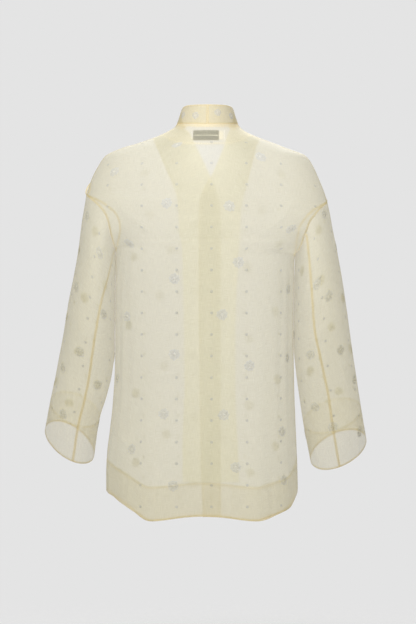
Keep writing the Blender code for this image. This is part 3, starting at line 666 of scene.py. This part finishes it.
def body_cloth(bearing, height):
    """Points of the body's outer face with its fine creases."""
    bearing, height = np.broadcast_arrays(bearing, height)
    out = creases(BODY_CREASES, np.degrees(bearing), height, BODY_SCALE)
    return body(bearing, height) + body_normals(bearing, height) * out[..., None]


def right_cloth(bearing, height):
    """The same for the right front, which dips in where it lies under the left one."""
    under = lap(height, body(bearing, height)[..., 0])
    return body_cloth(bearing, height) - body_normals(bearing, height) * under[..., None]


def sleeve_cloth(side):
    """The surface of a sleeve with its fine creases, by its turn and how far down it is."""

    def surface(turn, along):
        turn, along = np.broadcast_arrays(turn, along)
        out = normals(lambda a, b: sleeve(side, a, b), turn, along)
        out = -out if side == "right" else out
        push = creases(SLEEVE_CREASES[side], np.degrees(turn), along, SLEEVE_SCALE)
        return sleeve(side, turn, along) + out * (push * ease(along / CREASE_FADE))[..., None]

    return surface


def climb_on(surface):
    """Half the step for the second number of a named surface, which is a height on the body's."""
    return CLIMB if surface in (body_cloth, right_cloth) else TURN_STEP


def outward(surface, first, second):
    """The outward directions of a named surface."""
    out = normals(surface, first, second, climb_on(surface))
    return -out if surface is SLEEVES_CLOTH["right"] else out


def layer(surface, first, second, inside):
    """Points a distance inside a surface."""
    inside = np.asarray(inside, float)
    return surface(first, second) - outward(surface, first, second) * inside[..., None]


def cloth_lengths(points):
    """Where each point of a grid lies in the flat cloth, in metres across and along."""
    across = np.linalg.norm(np.diff(points, axis=1), axis=-1)
    along = np.linalg.norm(np.diff(points, axis=0), axis=-1)
    middle = points.shape[1] // 2
    u = np.pad(np.cumsum(across, axis=1), ((0, 0), (1, 0)))
    v = np.pad(np.cumsum(along, axis=0), ((1, 0), (0, 0)))
    return np.stack([u - u[:, middle : middle + 1], v], axis=-1).reshape(-1, 2) * MM


def grid(points):
    """A grid of points as one set of points, faces and places in the cloth."""
    rows, columns = points.shape[:2]
    index = np.arange(rows * columns).reshape(rows, columns)
    faces = np.stack([index[:-1, :-1], index[:-1, 1:], index[1:, 1:], index[1:, :-1]], axis=-1)
    return points.reshape(-1, 3), faces.reshape(-1, 4), cloth_lengths(points)


def add_mesh(name, sets, look, ways=None, turned_up=0):
    """One piece from several sets of points, faces and places in the cloth, shaded by its exact directions
    where they are given. Its first faces may be a turned-up hem, which lies tight on the cloth."""
    start, faces = 0, []
    for points, quads, _ in sets:
        faces.append(quads + start)
        start += len(points)
    points = np.concatenate([points for points, _, _ in sets]) * MM
    places = np.concatenate([places for _, _, places in sets])
    mesh = bpy.data.meshes.new(name)
    mesh.from_pydata(points.tolist(), [], np.concatenate(faces).tolist())
    corners = np.empty(len(mesh.loops), int)
    mesh.loops.foreach_get("vertex_index", corners)
    mesh.uv_layers.new(name="cloth").data.foreach_set("uv", places[corners].ravel())
    mesh.materials.append(MATERIALS[look])
    if turned_up:
        mesh.materials.append(MATERIALS["hem"])
        mesh.polygons.foreach_set("material_index", np.arange(len(mesh.polygons)) < turned_up)
    mesh.shade_smooth()
    if ways is not None:
        ways = ways / np.linalg.norm(ways, axis=-1, keepdims=True)
        mesh.normals_split_custom_set_from_vertices(ways.reshape(-1, 3).tolist())
    piece = bpy.data.objects.new(name, mesh)
    bpy.context.scene.collection.objects.link(piece)
    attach(piece, "root")
    return piece


def beside(surface, line, toward):
    """A line's points on a surface, its outward directions, and those across it to the side named."""
    points, out = surface(*line), outward(surface, *line)
    across = np.cross(out, np.gradient(points, axis=0))
    across /= np.linalg.norm(across, axis=-1, keepdims=True)
    return points, out, across * np.sign((across @ toward).sum())


def strip(surface, line, toward, kind):
    """A narrow strip of cloth beside a line on a surface, on the side named."""
    low, high, inside = STRIPS[kind]
    points, out, across = beside(surface, line, toward)
    offsets = np.linspace(low, high, STRIP_POINTS)[:, None]
    return grid((points - out * inside)[:, None] + across[:, None] * offsets)


def reach_along(points):
    """How far along a line each of its points lies."""
    return np.concatenate([[0], np.cumsum(np.linalg.norm(np.diff(points, axis=0), axis=-1))])


def stitches(surface, line, toward, offset, inside=-THREAD_OUT):
    """A row of short stitches beside a line on a surface."""
    points, out, across = beside(surface, line, toward)
    points = points + across * offset - out * inside
    reach = reach_along(points)
    starts = np.arange(STITCH_START, reach[-1] - STITCH_STEP, STITCH_STEP)

    def at(distance, rows):
        return np.stack([np.interp(distance, reach, values) for values in rows.T], axis=-1)

    start, end = at(starts, points), at(starts + STITCH, points)
    side, up = at(starts, across) * STITCH_WIDE / 2, at(starts, out) * STITCH_RISE
    middle = (start + end) / 2 + up
    corners = np.stack([start, middle - side, end, middle + side], axis=1).reshape(-1, 3)
    faces = np.arange(len(corners)).reshape(-1, 4)
    return corners, faces, corners[:, [0, 2]] * MM


def both_faces(clear):
    """How deep the thread lies on the face of two layers of cloth and behind them, by their space."""
    return -THREAD_OUT, clear + THREAD_BEHIND


def even_line(surface, first, second):
    """The same line at even steps."""
    first, second = np.broadcast_arrays(np.asarray(first, float), np.asarray(second, float))
    reach = reach_along(surface(first, second))
    at = np.linspace(0, reach[-1], max(2, int(reach[-1] / LINE_STEP)) + 1)
    return np.interp(at, reach, first), np.interp(at, reach, second)


def fold_over(outer, inner, edge):
    """Rows of a hem that is turned up inside: down the inner layer, round the fold, and up the outer one."""
    middle = (outer[0] + inner[0]) / 2
    down = edge / np.linalg.norm(edge, axis=-1, keepdims=True) * HEM_FOLD
    return np.concatenate([inner[::-1], [middle + down], outer])


def edge_heights(hole, face, low, high):
    """Heights up a panel's outer edge: the side, the armhole at even steps round it, and the shoulder."""
    armhole = armhole_heights(hole, face, np.linspace(np.pi, 0, ARMHOLE_STEPS + 1))
    above_hem = np.linspace(HEM_SHARE, 1, SIDE_ROWS - HEM_ROWS)[1:]
    share = np.append(np.linspace(0, HEM_SHARE, HEM_ROWS), above_hem)
    side = low + (hole["underarm"] - low) * share
    rise = np.sin(np.linspace(0, np.pi / 2, SHOULDER_STEPS + 1)) ** SHOULDER_CROWD
    return np.concatenate([side, armhole[1:-1], hole["tip"] + (high - hole["tip"]) * rise])


def back_grid():
    """Bearings and heights of the back, from its left edge to its right edge."""
    share = np.linspace(0, 1, BODY_COLUMNS + 1)
    bearings, heights = [], []
    for side, hole in ARMHOLES.items():
        outer = np.pi if side == "left" else 2 * np.pi
        lines = outer + (1.5 * np.pi - outer) * share
        low, high = round_body(HEM, lines), round_body(NECK, lines)
        half = np.stack([edge_heights(hole, -1, a, b) for a, b in zip(low, high)], axis=1)
        angle = seam_angle(hole, -1, half[:, 0])[:, None]
        turn = angle + (np.pi / 2 - angle) * share
        bearings.append(np.pi + turn if side == "left" else 2 * np.pi - turn)
        heights.append(half)
    middle = (heights[0][:, -1] + heights[1][:, -1]) / 2
    for half in heights:
        half += (middle - half[:, -1])[:, None] * ease(share)
    return np.hstack([bearings[0], bearings[1][:, -2::-1]]), np.hstack([heights[0], heights[1][:, -2::-1]])


def front_grid(side, edge):
    """Bearings and heights of a front, from its side to its free edge."""
    hole = ARMHOLES[side]
    outer = np.pi if side == "left" else 0.0
    start = edge_heights(hole, 1, round_body(HEM, outer), round_body(NECK, outer))
    free = free_heights(hole, edge, start)
    across = smooth(free, edge["height"], edge["across"])
    angle = seam_angle(hole, 1, start)
    first = np.pi - angle if side == "left" else angle
    last = bearing_of(across, free, 1)
    share = np.linspace(0, 1, BODY_COLUMNS + 1)
    bearing = first[:, None] + (last - first)[:, None] * share
    height = start[:, None] + (free - start)[:, None] * share
    below = ease((hole["underarm"] - height) / HEM_SHAPE_FADE)
    low = start[0] + (free[0] - start[0]) * share
    lift = (round_body(HEM, bearing[0]) - low) * (1 - side_progress(hole, start))[:, None]
    return bearing, height + below * lift


def hem_sewing(surface, top, foot, depths):
    """A hem's upper edge, turned in, with its stitches at the depths given, and the roll at its foot."""
    return {
        "turned": [strip(surface, top, UP, "hem_top")],
        "roll": [strip(surface, foot, UP, "hem_roll")],
        "thread": [stitches(surface, top, UP, HEM_STITCHES, depth) for depth in depths],
    }


def add_panel(name, surface, bearing, height, sides):
    """A panel of the body with its hem turned up inside, and the sewn lines of its hem, neck and sides."""
    outer, out = surface(bearing, height), outward(surface, bearing, height)
    down = outer[0] - outer[1]
    points = fold_over(outer, (outer - out * HEM_CLEAR)[:HEM_ROWS], down)
    ways = fold_over(out, -out[:HEM_ROWS], down) * np.sign(bearing[0, -1] - bearing[0, 0])
    turned_up = HEM_ROWS * (bearing.shape[1] - 1)
    cloth = add_mesh(f"{name}_cloth", [grid(points)], "organza", ways, turned_up)
    top = even_line(surface, bearing[HEM_ROWS - 1], height[HEM_ROWS - 1])
    foot = even_line(surface, bearing[0], height[0])
    neck = even_line(surface, bearing[-1], height[-1] - NECK_INSET)
    parts = {"cloth": cloth, **hem_sewing(surface, top, foot, both_faces(HEM_CLEAR))}
    parts["seam"] = [strip(surface, neck, UP, "neck")]
    inward = -FORWARD if name == "back" else FORWARD
    armhole = slice(SIDE_ROWS - 1, SIDE_ROWS + ARMHOLE_STEPS)
    for edge, side in sides.items():
        for rows, toward, kind in (
            (slice(0, SIDE_ROWS), inward, "side"),
            (armhole, -ARMHOLES[side]["side"] * RIGHTWARD, "armhole"),
            (slice(armhole.stop - 1, None), inward, "armhole"),
        ):
            line = even_line(surface, bearing[rows, edge], height[rows, edge])
            parts["seam"].append(strip(surface, line, toward, kind))
            parts["thread"].append(stitches(surface, line, toward, SEAM_STITCHES))
    return parts


def petals():
    """An embroidered rosette, 1 across: points, how far each stands out, and faces."""
    side = np.array(PETAL_SIDE)
    rim = np.concatenate([side, side[3:0:-1] * (1, -1)])
    ridge = np.stack([np.linspace(*PETAL_RIDGE, len(side)), np.zeros(len(side))], axis=-1)
    outline = np.concatenate([rim, ridge])
    first, second, spine = (0, 1, 2, 3, 4), (0, 7, 6, 5, 4), (8, 9, 10, 11, 12)
    steps = range(len(spine) - 1)
    quads = [(first[k], first[k + 1], spine[k + 1], spine[k]) for k in steps]
    quads += [(second[k], spine[k], spine[k + 1], second[k + 1]) for k in steps]
    points, faces = [], []
    for petal in range(PETALS):
        angle = petal * 2 * np.pi / PETALS + PETAL_TURNS[petal % 2]
        turn = np.array([(np.cos(angle), np.sin(angle)), (-np.sin(angle), np.cos(angle))])
        points.append(outline @ turn * (1 + PETAL_UNEVEN * np.sin(petal * PETAL_WAVE)) / 2)
        faces.append(np.array(quads) + len(outline) * petal)
    lifts = np.tile([PETAL_LOW] * len(rim) + [PETAL_HIGH] * len(ridge), PETALS)
    return np.concatenate(points), lifts, np.concatenate(faces)


def rings(radii, lifts, corners):
    """A small raised disc of rings round a point: points, how far each stands out, and faces."""
    around = np.linspace(0, 2 * np.pi, corners + 1)[:-1]
    circle = np.stack([np.cos(around), np.sin(around)], axis=-1)
    here = np.arange(corners)
    beyond = (here + 1) % corners
    band = np.stack([here, beyond, beyond + corners, here + corners], axis=-1)
    faces = [band + corners * number for number in range(len(radii) - 1)]
    points = np.concatenate([circle * radius for radius in radii])
    return points, np.repeat(lifts, corners), np.concatenate(faces)


# Small raised shapes: a flower's ground and heart, and a dot, by the radii of their rings, how far each ring
# stands out, and how many corners it has
SHAPES = {
    "flower": petals(),
    "flower_ground": rings((0.02, 0.25, 0.47), (0.08, 0.08, 0.04), 20),
    "flower_heart": rings((0.03, 0.1, 0.15), (0.75, 0.65, 0.12), 12),
    "dot": rings((0.02, 0.28, 0.5), (0.6, 0.5, 0.12), 8),
}


def scatter(surface, places, shape):
    """One small raised shape laid on a surface at several places, each with its size and how it is turned."""
    flat, lift, faces = SHAPES[shape]
    first, second, size, turn = np.array(places, float).T[:, :, None]
    cosine, sine = np.cos(np.radians(turn)) * size, np.sin(np.radians(turn)) * size
    climb = climb_on(surface)
    wide = surface(first + TURN_STEP, second) - surface(first - TURN_STEP, second)
    tall = surface(first, second + climb) - surface(first, second - climb)
    across = flat[:, 0] * cosine - flat[:, 1] * sine
    up = flat[:, 0] * sine + flat[:, 1] * cosine
    first = first + across * 2 * TURN_STEP / np.linalg.norm(wide, axis=-1)
    second = second + up * 2 * climb / np.linalg.norm(tall, axis=-1)
    points = layer(surface, first, second, -lift).reshape(-1, 3)
    faces = faces[None] + np.arange(len(places))[:, None, None] * len(flat)
    return points, faces.reshape(-1, 4), np.stack([across, up], axis=-1).reshape(-1, 2) * MM


def embroider(parts, surface, flowers, dots):
    """Flowers and dots on a piece of cloth, each given by its place on the surface."""
    parts["flower"] = [scatter(surface, flowers, shape) for shape in ("flower_ground", "flower")]
    parts["flower_heart"] = [scatter(surface, flowers, "flower_heart")]
    if dots:
        parts["dot"] = [scatter(surface, dots, "dot")]


def body_places(rows, face):
    """Places on the body, from how far right of the middle and how high they are."""
    across, height, size, turn = np.array(rows, float).T
    return np.stack([bearing_of(across, height, face), height, size, turn], axis=-1).tolist()


def body_dots(face, clear, flowers):
    """Dots in rows and columns over a panel, left out beside a flower."""
    dots = []
    for place in DOT_COLUMNS:
        for row in DOT_ROWS:
            across, height = DOT_ACROSS + DOT_SPACING * place, DOT_TOP - DOT_STEP * row
            near = [np.hypot(across - x, height - z) < DOT_CLEAR for x, z, _, _ in flowers]
            if clear(across, height) and not any(near):
                dots.append((across, height, DOT_SIZE, 0))
    return body_places(dots, face)


def add_back():
    """The back with its flowers and dots."""
    bearing, height = back_grid()
    parts = add_panel("back", body_cloth, bearing, height, {0: "left", -1: "right"})
    dots = body_dots(-1, clear_of_edges, BACK_FLOWERS)
    embroider(parts, body_cloth, body_places(BACK_FLOWERS, -1), dots)
    finish_sheet("back", parts)


def clear_of_edges(across, height):
    """Whether a dot there is clear of the body's neck, sides and armholes, and of the back's hem."""
    side = "left" if across < 0 else "right"
    hole = ARMHOLES[side]
    if height < hole["underarm"]:
        edge = abs(side_point(hole["side"], height) - column("middle", height)) - SIDE_CLEAR
    elif height < hole["tip"]:
        angle = seam_angle(hole, -1, np.array(height)) + ARMHOLE_CLEAR
        edge = abs(body(-angle if side == "right" else np.pi + angle, np.array(height))[..., 0])
    else:
        edge = abs(side_point(hole["side"], height)) - SHOULDER_CLEAR
    bearing = bearing_of(np.array(float(across)), np.array(height), -1)
    return abs(across) < edge and round_body(HEM, bearing) + DOT_CLEAR < height < DOTS_BELOW


def finish_sheet(name, parts):
    """Builds all that is sewn on a cloth piece, and hides its solid, which the cloth takes the place of."""
    pieces = [add_mesh(f"{name}_{look}", parts[look], look) for look in SEWN if parts.get(look)]
    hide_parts(name)


def add_front(side, edge, surface):
    """A front with the turned edge of its free side, its flowers and its dots."""
    sign = ARMHOLES[side]["side"]
    bearing, height = front_grid(side, edge)
    parts = add_panel(f"front_{side}", surface, bearing, height, {0: side})

    def within(across, height):
        hem = round_body(HEM, bearing_of(np.array(float(across)), np.array(height), 1))
        free = smooth(height, edge["height"], edge["across"])
        inward = (across - free) * sign
        return inward > DOT_CLEAR and clear_of_edges(across, height) and height > hem + DOT_CLEAR

    flowers = FRONT_FLOWERS[side]
    embroider(parts, surface, body_places(flowers, 1), body_dots(1, within, flowers))
    line = even_line(surface, bearing[:, -1], height[:, -1])
    parts["turned"].append(strip(surface, line, sign * RIGHTWARD, "free_edge"))
    parts["thread"].append(stitches(surface, line, sign * RIGHTWARD, EDGE_STITCHES))
    finish_sheet(f"front_{side}", parts)


def add_front_facing(side, edge, stitched, surface):
    """A wide facing inside a front, from its free edge to its stitched one."""
    hole, sign = ARMHOLES[side], ARMHOLES[side]["side"]
    low = round_body(HEM, bearing_of(edge["across"][0], edge["height"][0], 1))
    low = low + FACING_START_SHARE * (hole["underarm"] - low)
    height = low + (edge["height"][-1] - low) * (1 - np.linspace(1, 0, FACING_STEPS + 1) ** FACING_CROWD)
    free = smooth(height, edge["height"], edge["across"]) + sign * FACING_SETBACK
    outer = smooth(height, stitched["height"], stitched["across"])
    seam = seam_angle(hole, 1, height)
    first, last = bearing_of(outer, height, 1), bearing_of(free, height, 1)
    first = np.minimum(first, np.pi - seam) if side == "left" else np.maximum(first, seam)
    share = np.linspace(0, 1, FACING_COLUMNS + 1)
    bearing = first[:, None] + (last - first)[:, None] * share
    points = layer(surface, bearing, height[:, None] + 0 * bearing, FACING_CLEAR)
    parts = {"cloth": add_mesh(f"facing_{side}_cloth", [grid(points)], "facing")}
    line, toward = even_line(surface, first, height), -sign * RIGHTWARD
    parts["turned"] = [strip(surface, line, toward, "facing")]
    parts["thread"] = [stitches(surface, line, toward, FACING_STITCHES, FACING_CLEAR + THREAD_BEHIND)]
    finish_sheet(f"facing_{side}", parts)


def add_back_facing():
    """The facing inside the back's neck."""
    seam = np.radians(BACK_FACING_SETBACK)
    bearing = np.linspace(np.pi + seam, 2 * np.pi - seam, BACK_FACING_COLUMNS + 1)
    from_back = np.degrees(np.abs(bearing - 1.5 * np.pi))
    low = smooth(from_back, BACK_FACING["from_back"], BACK_FACING["height"])
    high = round_body(NECK, bearing) - GAP
    height = low + (high - low) * np.linspace(0, 1, BACK_FACING_ROWS)[:, None]
    points = layer(body_cloth, bearing + 0 * height, height, FACING_CLEAR)
    parts = {"cloth": add_mesh("facing_back_cloth", [grid(points)], "yoke")}
    line = even_line(body_cloth, bearing, low)
    depths = both_faces(FACING_CLEAR)
    parts["turned"] = [strip(body_cloth, line, UP, "back_facing")]
    parts["thread"] = [stitches(body_cloth, line, UP, BACK_FACING_STITCHES, depth) for depth in depths]
    finish_sheet("facing_back", parts)


def label_grid(place, inside):
    """A flat tape inside the back, by its left, right, bottom and top."""
    left, right, bottom, top = place
    across = np.linspace(left, right, LABEL_COLUMNS + 1)
    height = np.linspace(bottom, top, LABEL_ROWS)[:, None] + 0 * across
    bearing = bearing_of(across + 0 * height, height, -1)
    return grid(layer(body_cloth, bearing, height, inside))


def add_label():
    """The blank woven label, its paler line and the tab beside it, with the stitches at their ends."""
    sheet = add_mesh("label_cloth", [label_grid(LABEL, LABEL_CLEAR)], "woven_label")
    lines = [label_grid(BAND, LABEL_CLEAR + side) for side in (-BAND_RISE, BAND_RISE)]
    band = add_mesh("label_band", lines, "label_band")
    height = np.linspace(*LABEL[2:], SHORT_LINE_POINTS)
    ends = [(bearing_of(0 * height + across, height, -1), height) for across in LABEL_STITCHES_AT]
    thread = add_mesh("label_thread", [stitches(body_cloth, end, RIGHTWARD, 0) for end in ends], "tape")
    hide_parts("label")
    tab = add_mesh("label_tab_tape", [label_grid(TAB, LABEL_CLEAR)], "tape")
    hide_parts("label_tab")


def add_collar():
    """The standing collar, folded over at its rim, with its seams and flowers."""
    for side, end in COLLAR_ENDS.items():
        back = 1.5 * np.pi + ARMHOLES[side]["side"] * COLLAR_SPLIT
        bearing = np.linspace(*sorted((end, back)), COLLAR_COLUMNS + 1)
        share = np.linspace(COLLAR_FOOT, 1, COLLAR_ROWS)[:, None] + 0 * bearing
        outer = collar(bearing, share)
        inner = layer(collar, bearing + 0 * share, share, COLLAR_CLEAR)
        fold = (outer[-1] + inner[-1]) / 2 + COLLAR_FOLD * UP
        points = np.concatenate([outer, [fold], inner[::-1]])
        parts = {"cloth": add_mesh(f"collar_{side}_cloth", [grid(points)], "collar")}
        foot = even_line(collar, bearing, 0 * bearing + COLLAR_FOOT)
        rise = np.linspace(COLLAR_FOOT, 1, SHORT_LINE_POINTS)
        middle = even_line(collar, 0 * rise + back, rise)
        rim = even_line(collar, bearing, 0 * bearing + COLLAR_RIM)
        parts["seam"] = [
            strip(collar, foot, UP, "collar_foot"),
            strip(collar, middle, ARMHOLES[side]["side"] * RIGHTWARD, "collar_middle"),
            strip(collar, rim, UP, "collar_rim"),
        ]
        depths = both_faces(COLLAR_CLEAR)
        parts["thread"] = [stitches(collar, rim, UP, COLLAR_STITCHES, depth) for depth in depths]
        flowers = [row for row in COLLAR_FLOWERS if (row[0] < 270) == (side == "left")]
        embroider(parts, collar, [(np.radians(degrees), *rest) for degrees, *rest in flowers], [])
        finish_sheet(f"collar_{side}", parts)


def sleeve_dots(flowers):
    """Dots down a sleeve, every other column half a step lower, left out beside a flower."""
    dots = []
    for number, degrees in enumerate(SLEEVE_DOTS):
        for row in SLEEVE_DOT_ROWS:
            at = SLEEVE_DOT_TOP + row * SLEEVE_DOT_STEP + (SLEEVE_DOT_STEP / 2 if number % 2 else 0)
            away = [
                abs(degrees_from(degrees, turn)) * SLEEVE_SCALE[0] + abs(at - along) * SLEEVE_SCALE[1]
                for turn, along, _, _ in flowers
            ]
            if min(away) > SLEEVE_DOT_CLEAR:
                dots.append((np.radians(degrees), at, DOT_SIZE, 0))
    return dots


def add_sleeve(side):
    """A sleeve with its cuff turned up inside, its two seams, its flowers and its dots."""
    surface = SLEEVES_CLOTH[side]
    above_cuff = np.linspace(0, 1, SLEEVE_ROWS) ** SLEEVE_CROWD * CUFF_HEM_SHARE
    along = np.append(above_cuff, np.linspace(CUFF_HEM_SHARE, 1, CUFF_ROWS)[1:])[:, None]
    seam = SLEEVE_SEAMS[side]
    start = np.radians(smooth(along, seam["along"], seam["turn"]))
    turn = start + np.linspace(0, 2 * np.pi, SLEEVE_COLUMNS + 1)
    along = along + 0 * turn
    outer = surface(turn, along)
    cuff = slice(-CUFF_ROWS, None)
    inner = layer(surface, turn[cuff], along[cuff], HEM_CLEAR)
    points = fold_over(outer[::-1], inner[::-1], outer[-1] - outer[-2])
    turned_up = CUFF_ROWS * SLEEVE_COLUMNS
    cloth = add_mesh(f"sleeve_{side}_cloth", [grid(points)], "organza", turned_up=turned_up)
    top = even_line(surface, turn[-CUFF_ROWS], along[-CUFF_ROWS])
    foot = even_line(surface, turn[-1], along[-1])
    parts = {"cloth": cloth, "seam": [], **hem_sewing(surface, top, foot, [-THREAD_OUT])}
    for seam_turn in (turn[:, 0], 0 * turn[:, 0] + np.pi):
        line = even_line(surface, seam_turn, along[:, 0])
        parts["seam"].append(strip(surface, line, RIGHTWARD, "sleeve"))
        parts["thread"].append(stitches(surface, line, RIGHTWARD, 0))
    flowers = SLEEVE_FLOWERS[side]
    places = [(np.radians(degrees), *rest) for degrees, *rest in flowers]
    embroider(parts, surface, places, sleeve_dots(flowers))
    finish_sheet(f"sleeve_{side}", parts)


def node(tree, kind, **inputs):
    """A new node with the inputs named set to the values given."""
    made = tree.nodes.new(kind)
    for name, value in inputs.items():
        made.inputs[name.replace("_", " ")].default_value = value
    return made


def distance(tree, scale):
    """How far a point lies from its object's origin, with each direction scaled."""
    place, spread = tree.nodes.new("ShaderNodeTexCoord"), node(tree, "ShaderNodeMapping", Scale=scale)
    far = tree.nodes.new("ShaderNodeVectorMath")
    far.operation = "LENGTH"
    tree.links.new(place.outputs["Object"], spread.inputs[0])
    tree.links.new(spread.outputs[0], far.inputs[0])
    return far.outputs["Value"]


def woven(tree, stops):
    """How much light the cloth stops, varied by the thicker threads that run each way through it."""
    where, both = tree.nodes.new("ShaderNodeUVMap"), tree.nodes.new("ShaderNodeMath")
    both.operation = "ADD"
    for socket, scale in zip(both.inputs, ((SLUBS_ALONG, SLUBS_ACROSS, 1), (SLUBS_ACROSS, SLUBS_ALONG, 1))):
        stretch = node(tree, "ShaderNodeMapping", Scale=scale)
        noise = node(tree, "ShaderNodeTexNoise", Scale=1.0, Detail=SLUB_DETAIL)
        tree.links.new(where.outputs[0], stretch.inputs[0])
        tree.links.new(stretch.outputs[0], noise.inputs["Vector"])
        tree.links.new(noise.outputs[0], socket)
    return ranged(tree, both.outputs[0], (WEAVE_LOW, WEAVE_HIGH, stops * THIN, stops * THICK))


def mixed(tree, share, first, second):
    """A mix of two shaders, by the output that gives the second one's share."""
    mix = tree.nodes.new("ShaderNodeMixShader")
    for source, socket in zip((share, first, second), mix.inputs):
        tree.links.new(source, socket)
    return mix.outputs[0]


def make_material(name, colour, stops, passes):
    """Sheer cloth or thread: its weave varies how much light it stops, with light coming through it too. Its
    colour has painted shade, darker and yellower towards the sides and the hem.
    """
    material = bpy.data.materials.new(name)
    material.use_nodes = True
    tree = material.node_tree
    tree.nodes.clear()
    output = tree.nodes.new("ShaderNodeOutputMaterial")
    face = node(tree, "ShaderNodeBsdfPrincipled", Base_Color=(*colour, 1), Roughness=CLOTH_ROUGHNESS)
    through = node(tree, "ShaderNodeBsdfTranslucent", Color=(*colour, 1))
    cloth = node(tree, "ShaderNodeMixShader", Fac=passes)
    tree.links.new(face.outputs[0], cloth.inputs[1])
    tree.links.new(through.outputs[0], cloth.inputs[2])
    if stops >= 1:
        tree.links.new(cloth.outputs[0], output.inputs["Surface"])
        return material
    # Painted shade: the colour darkens and yellows with distance from the neck, mostly sideways and downwards
    tone = tree.nodes.new("ShaderNodeValToRGB")
    for stop, tint in zip(tone.color_ramp.elements, ((1, 1, 1), PAINTED_SHADE_TINT)):
        stop.color = (*[a * b for a, b in zip(colour, tint)], 1)
    painted_shade = ranged(tree, distance(tree, PAINTED_SHADE_SPREAD), (PAINTED_SHADE_FROM, PAINTED_SHADE_TO, 0, 1))
    tree.links.new(painted_shade, tone.inputs[0])
    tree.links.new(tone.outputs[0], face.inputs["Base Color"])
    tree.links.new(tone.outputs[0], through.inputs["Color"])
    clear = node(tree, "ShaderNodeBsdfTransparent", Color=(1, 1, 1, 1))
    sheer = mixed(tree, woven(tree, stops), clear.outputs[0], cloth.outputs[0])
    tree.links.new(sheer, output.inputs["Surface"])
    return material


def ranged(tree, value, limits):
    """A value mapped softly from one range to another."""
    spread = tree.nodes.new("ShaderNodeMapRange")
    spread.interpolation_type = "SMOOTHSTEP"
    for socket, limit in zip(("From Min", "From Max", "To Min", "To Max"), limits):
        spread.inputs[socket].default_value = limit
    tree.links.new(value, spread.inputs["Value"])
    return spread.outputs[0]


def add_light(name, place_at, size, power):
    """A large soft lamp that points at the jacket."""
    light = bpy.data.lights.new(name, "AREA")
    light.size, light.energy = size, power
    lamp = bpy.data.objects.new(name, light)
    lamp.location = place_at
    way = mathutils.Vector(LAMP_AIM) - mathutils.Vector(place_at)
    lamp.rotation_euler = way.to_track_quat("-Z", "Y").to_euler()
    bpy.context.scene.collection.objects.link(lamp)


def floor_material():
    """A pale floor that fades softly into the room's colour away from the middle."""
    material = bpy.data.materials.new("floor")
    material.use_nodes = True
    tree = material.node_tree
    shader = tree.nodes["Principled BSDF"]
    shader.inputs["Base Color"].default_value = (FLOOR_GREY, FLOOR_GREY, FLOOR_GREY, 1)
    shader.inputs["Roughness"].default_value = FLOOR_ROUGHNESS
    shader.inputs["Specular IOR Level"].default_value = FLOOR_SHINE
    fade = ranged(tree, distance(tree, (1, 1, 1)), (*FLOOR_FADE, 1, 0))
    tree.links.new(fade, shader.inputs["Alpha"])
    return material


def add_world():
    """An even backdrop, and soft light from all round: dimmer from below and from the sides."""
    world = bpy.data.worlds.new("room")
    world.use_nodes = True
    tree = world.node_tree
    seen = tree.nodes["Background"]
    seen.inputs["Color"].default_value = (BACKDROP, BACKDROP, BACKDROP, 1)
    where, split = tree.nodes.new("ShaderNodeTexCoord"), tree.nodes.new("ShaderNodeSeparateXYZ")
    tree.links.new(where.outputs["Generated"], split.inputs[0])
    colour = tree.nodes.new("ShaderNodeMix")
    colour.data_type = "RGBA"
    colour.inputs["A"].default_value, colour.inputs["B"].default_value = (*LIGHT_BELOW, 1), (*LIGHT_ABOVE, 1)
    tree.links.new(ranged(tree, split.outputs["Z"], (RISE_FROM, RISE_TO, 0, 1)), colour.inputs["Factor"])
    aside = tree.nodes.new("ShaderNodeMath")
    aside.operation = "ABSOLUTE"
    tree.links.new(split.outputs["X"], aside.inputs[0])
    light = tree.nodes.new("ShaderNodeBackground")
    tree.links.new(colour.outputs["Result"], light.inputs["Color"])
    tree.links.new(ranged(tree, aside.outputs[0], (SIDE_FROM, 1, 1, SIDE_LIGHT)), light.inputs["Strength"])
    path = tree.nodes.new("ShaderNodeLightPath")
    room = mixed(tree, path.outputs["Is Camera Ray"], light.outputs[0], seen.outputs[0])
    tree.links.new(room, tree.nodes["World Output"].inputs["Surface"])
    bpy.context.scene.world = world


def add_room():
    """A plain pale floor, large soft lights above, before and behind, and the camera."""
    add_world()
    for name, lamp in LAMPS.items():
        add_light(name, *lamp)
    bpy.ops.mesh.primitive_circle_add(
        vertices=FLOOR_CORNERS, radius=FLOOR_RADIUS, fill_type="NGON", location=(0, 0, FLOOR_HEIGHT)
    )
    floor = bpy.context.object
    floor.name = "floor"
    floor.data.materials.append(floor_material())
    camera = bpy.data.objects.new("camera", bpy.data.cameras.new("camera"))
    camera.data.sensor_fit = "VERTICAL"
    camera.data.sensor_height = SENSOR
    camera.data.lens = SENSOR / 2 / VIEW_SLOPE
    camera.location = CAMERA_AT
    camera.rotation_euler = (np.pi / 2, 0, 0)
    bpy.context.scene.collection.objects.link(camera)
    bpy.context.scene.camera = camera
    bpy.context.scene.view_settings.view_transform = "Standard"
    bpy.context.scene.cycles.transparent_max_bounces = SHEER_FACES


SLEEVES_CLOTH = {side: sleeve_cloth(side) for side in ARMHOLES}
MATERIALS = {name: make_material(name, *look[:3]) for name, look in LOOKS.items()}

add_back()
add_front("left", LEFT_EDGE, body_cloth)
add_front("right", RIGHT_EDGE, right_cloth)
add_front_facing("left", LEFT_EDGE, LEFT_FACING, body_cloth)
add_front_facing("right", RIGHT_EDGE, RIGHT_FACING, right_cloth)
add_back_facing()
add_label()
add_collar()
for side in ARMHOLES:
    add_sleeve(side)
add_room()
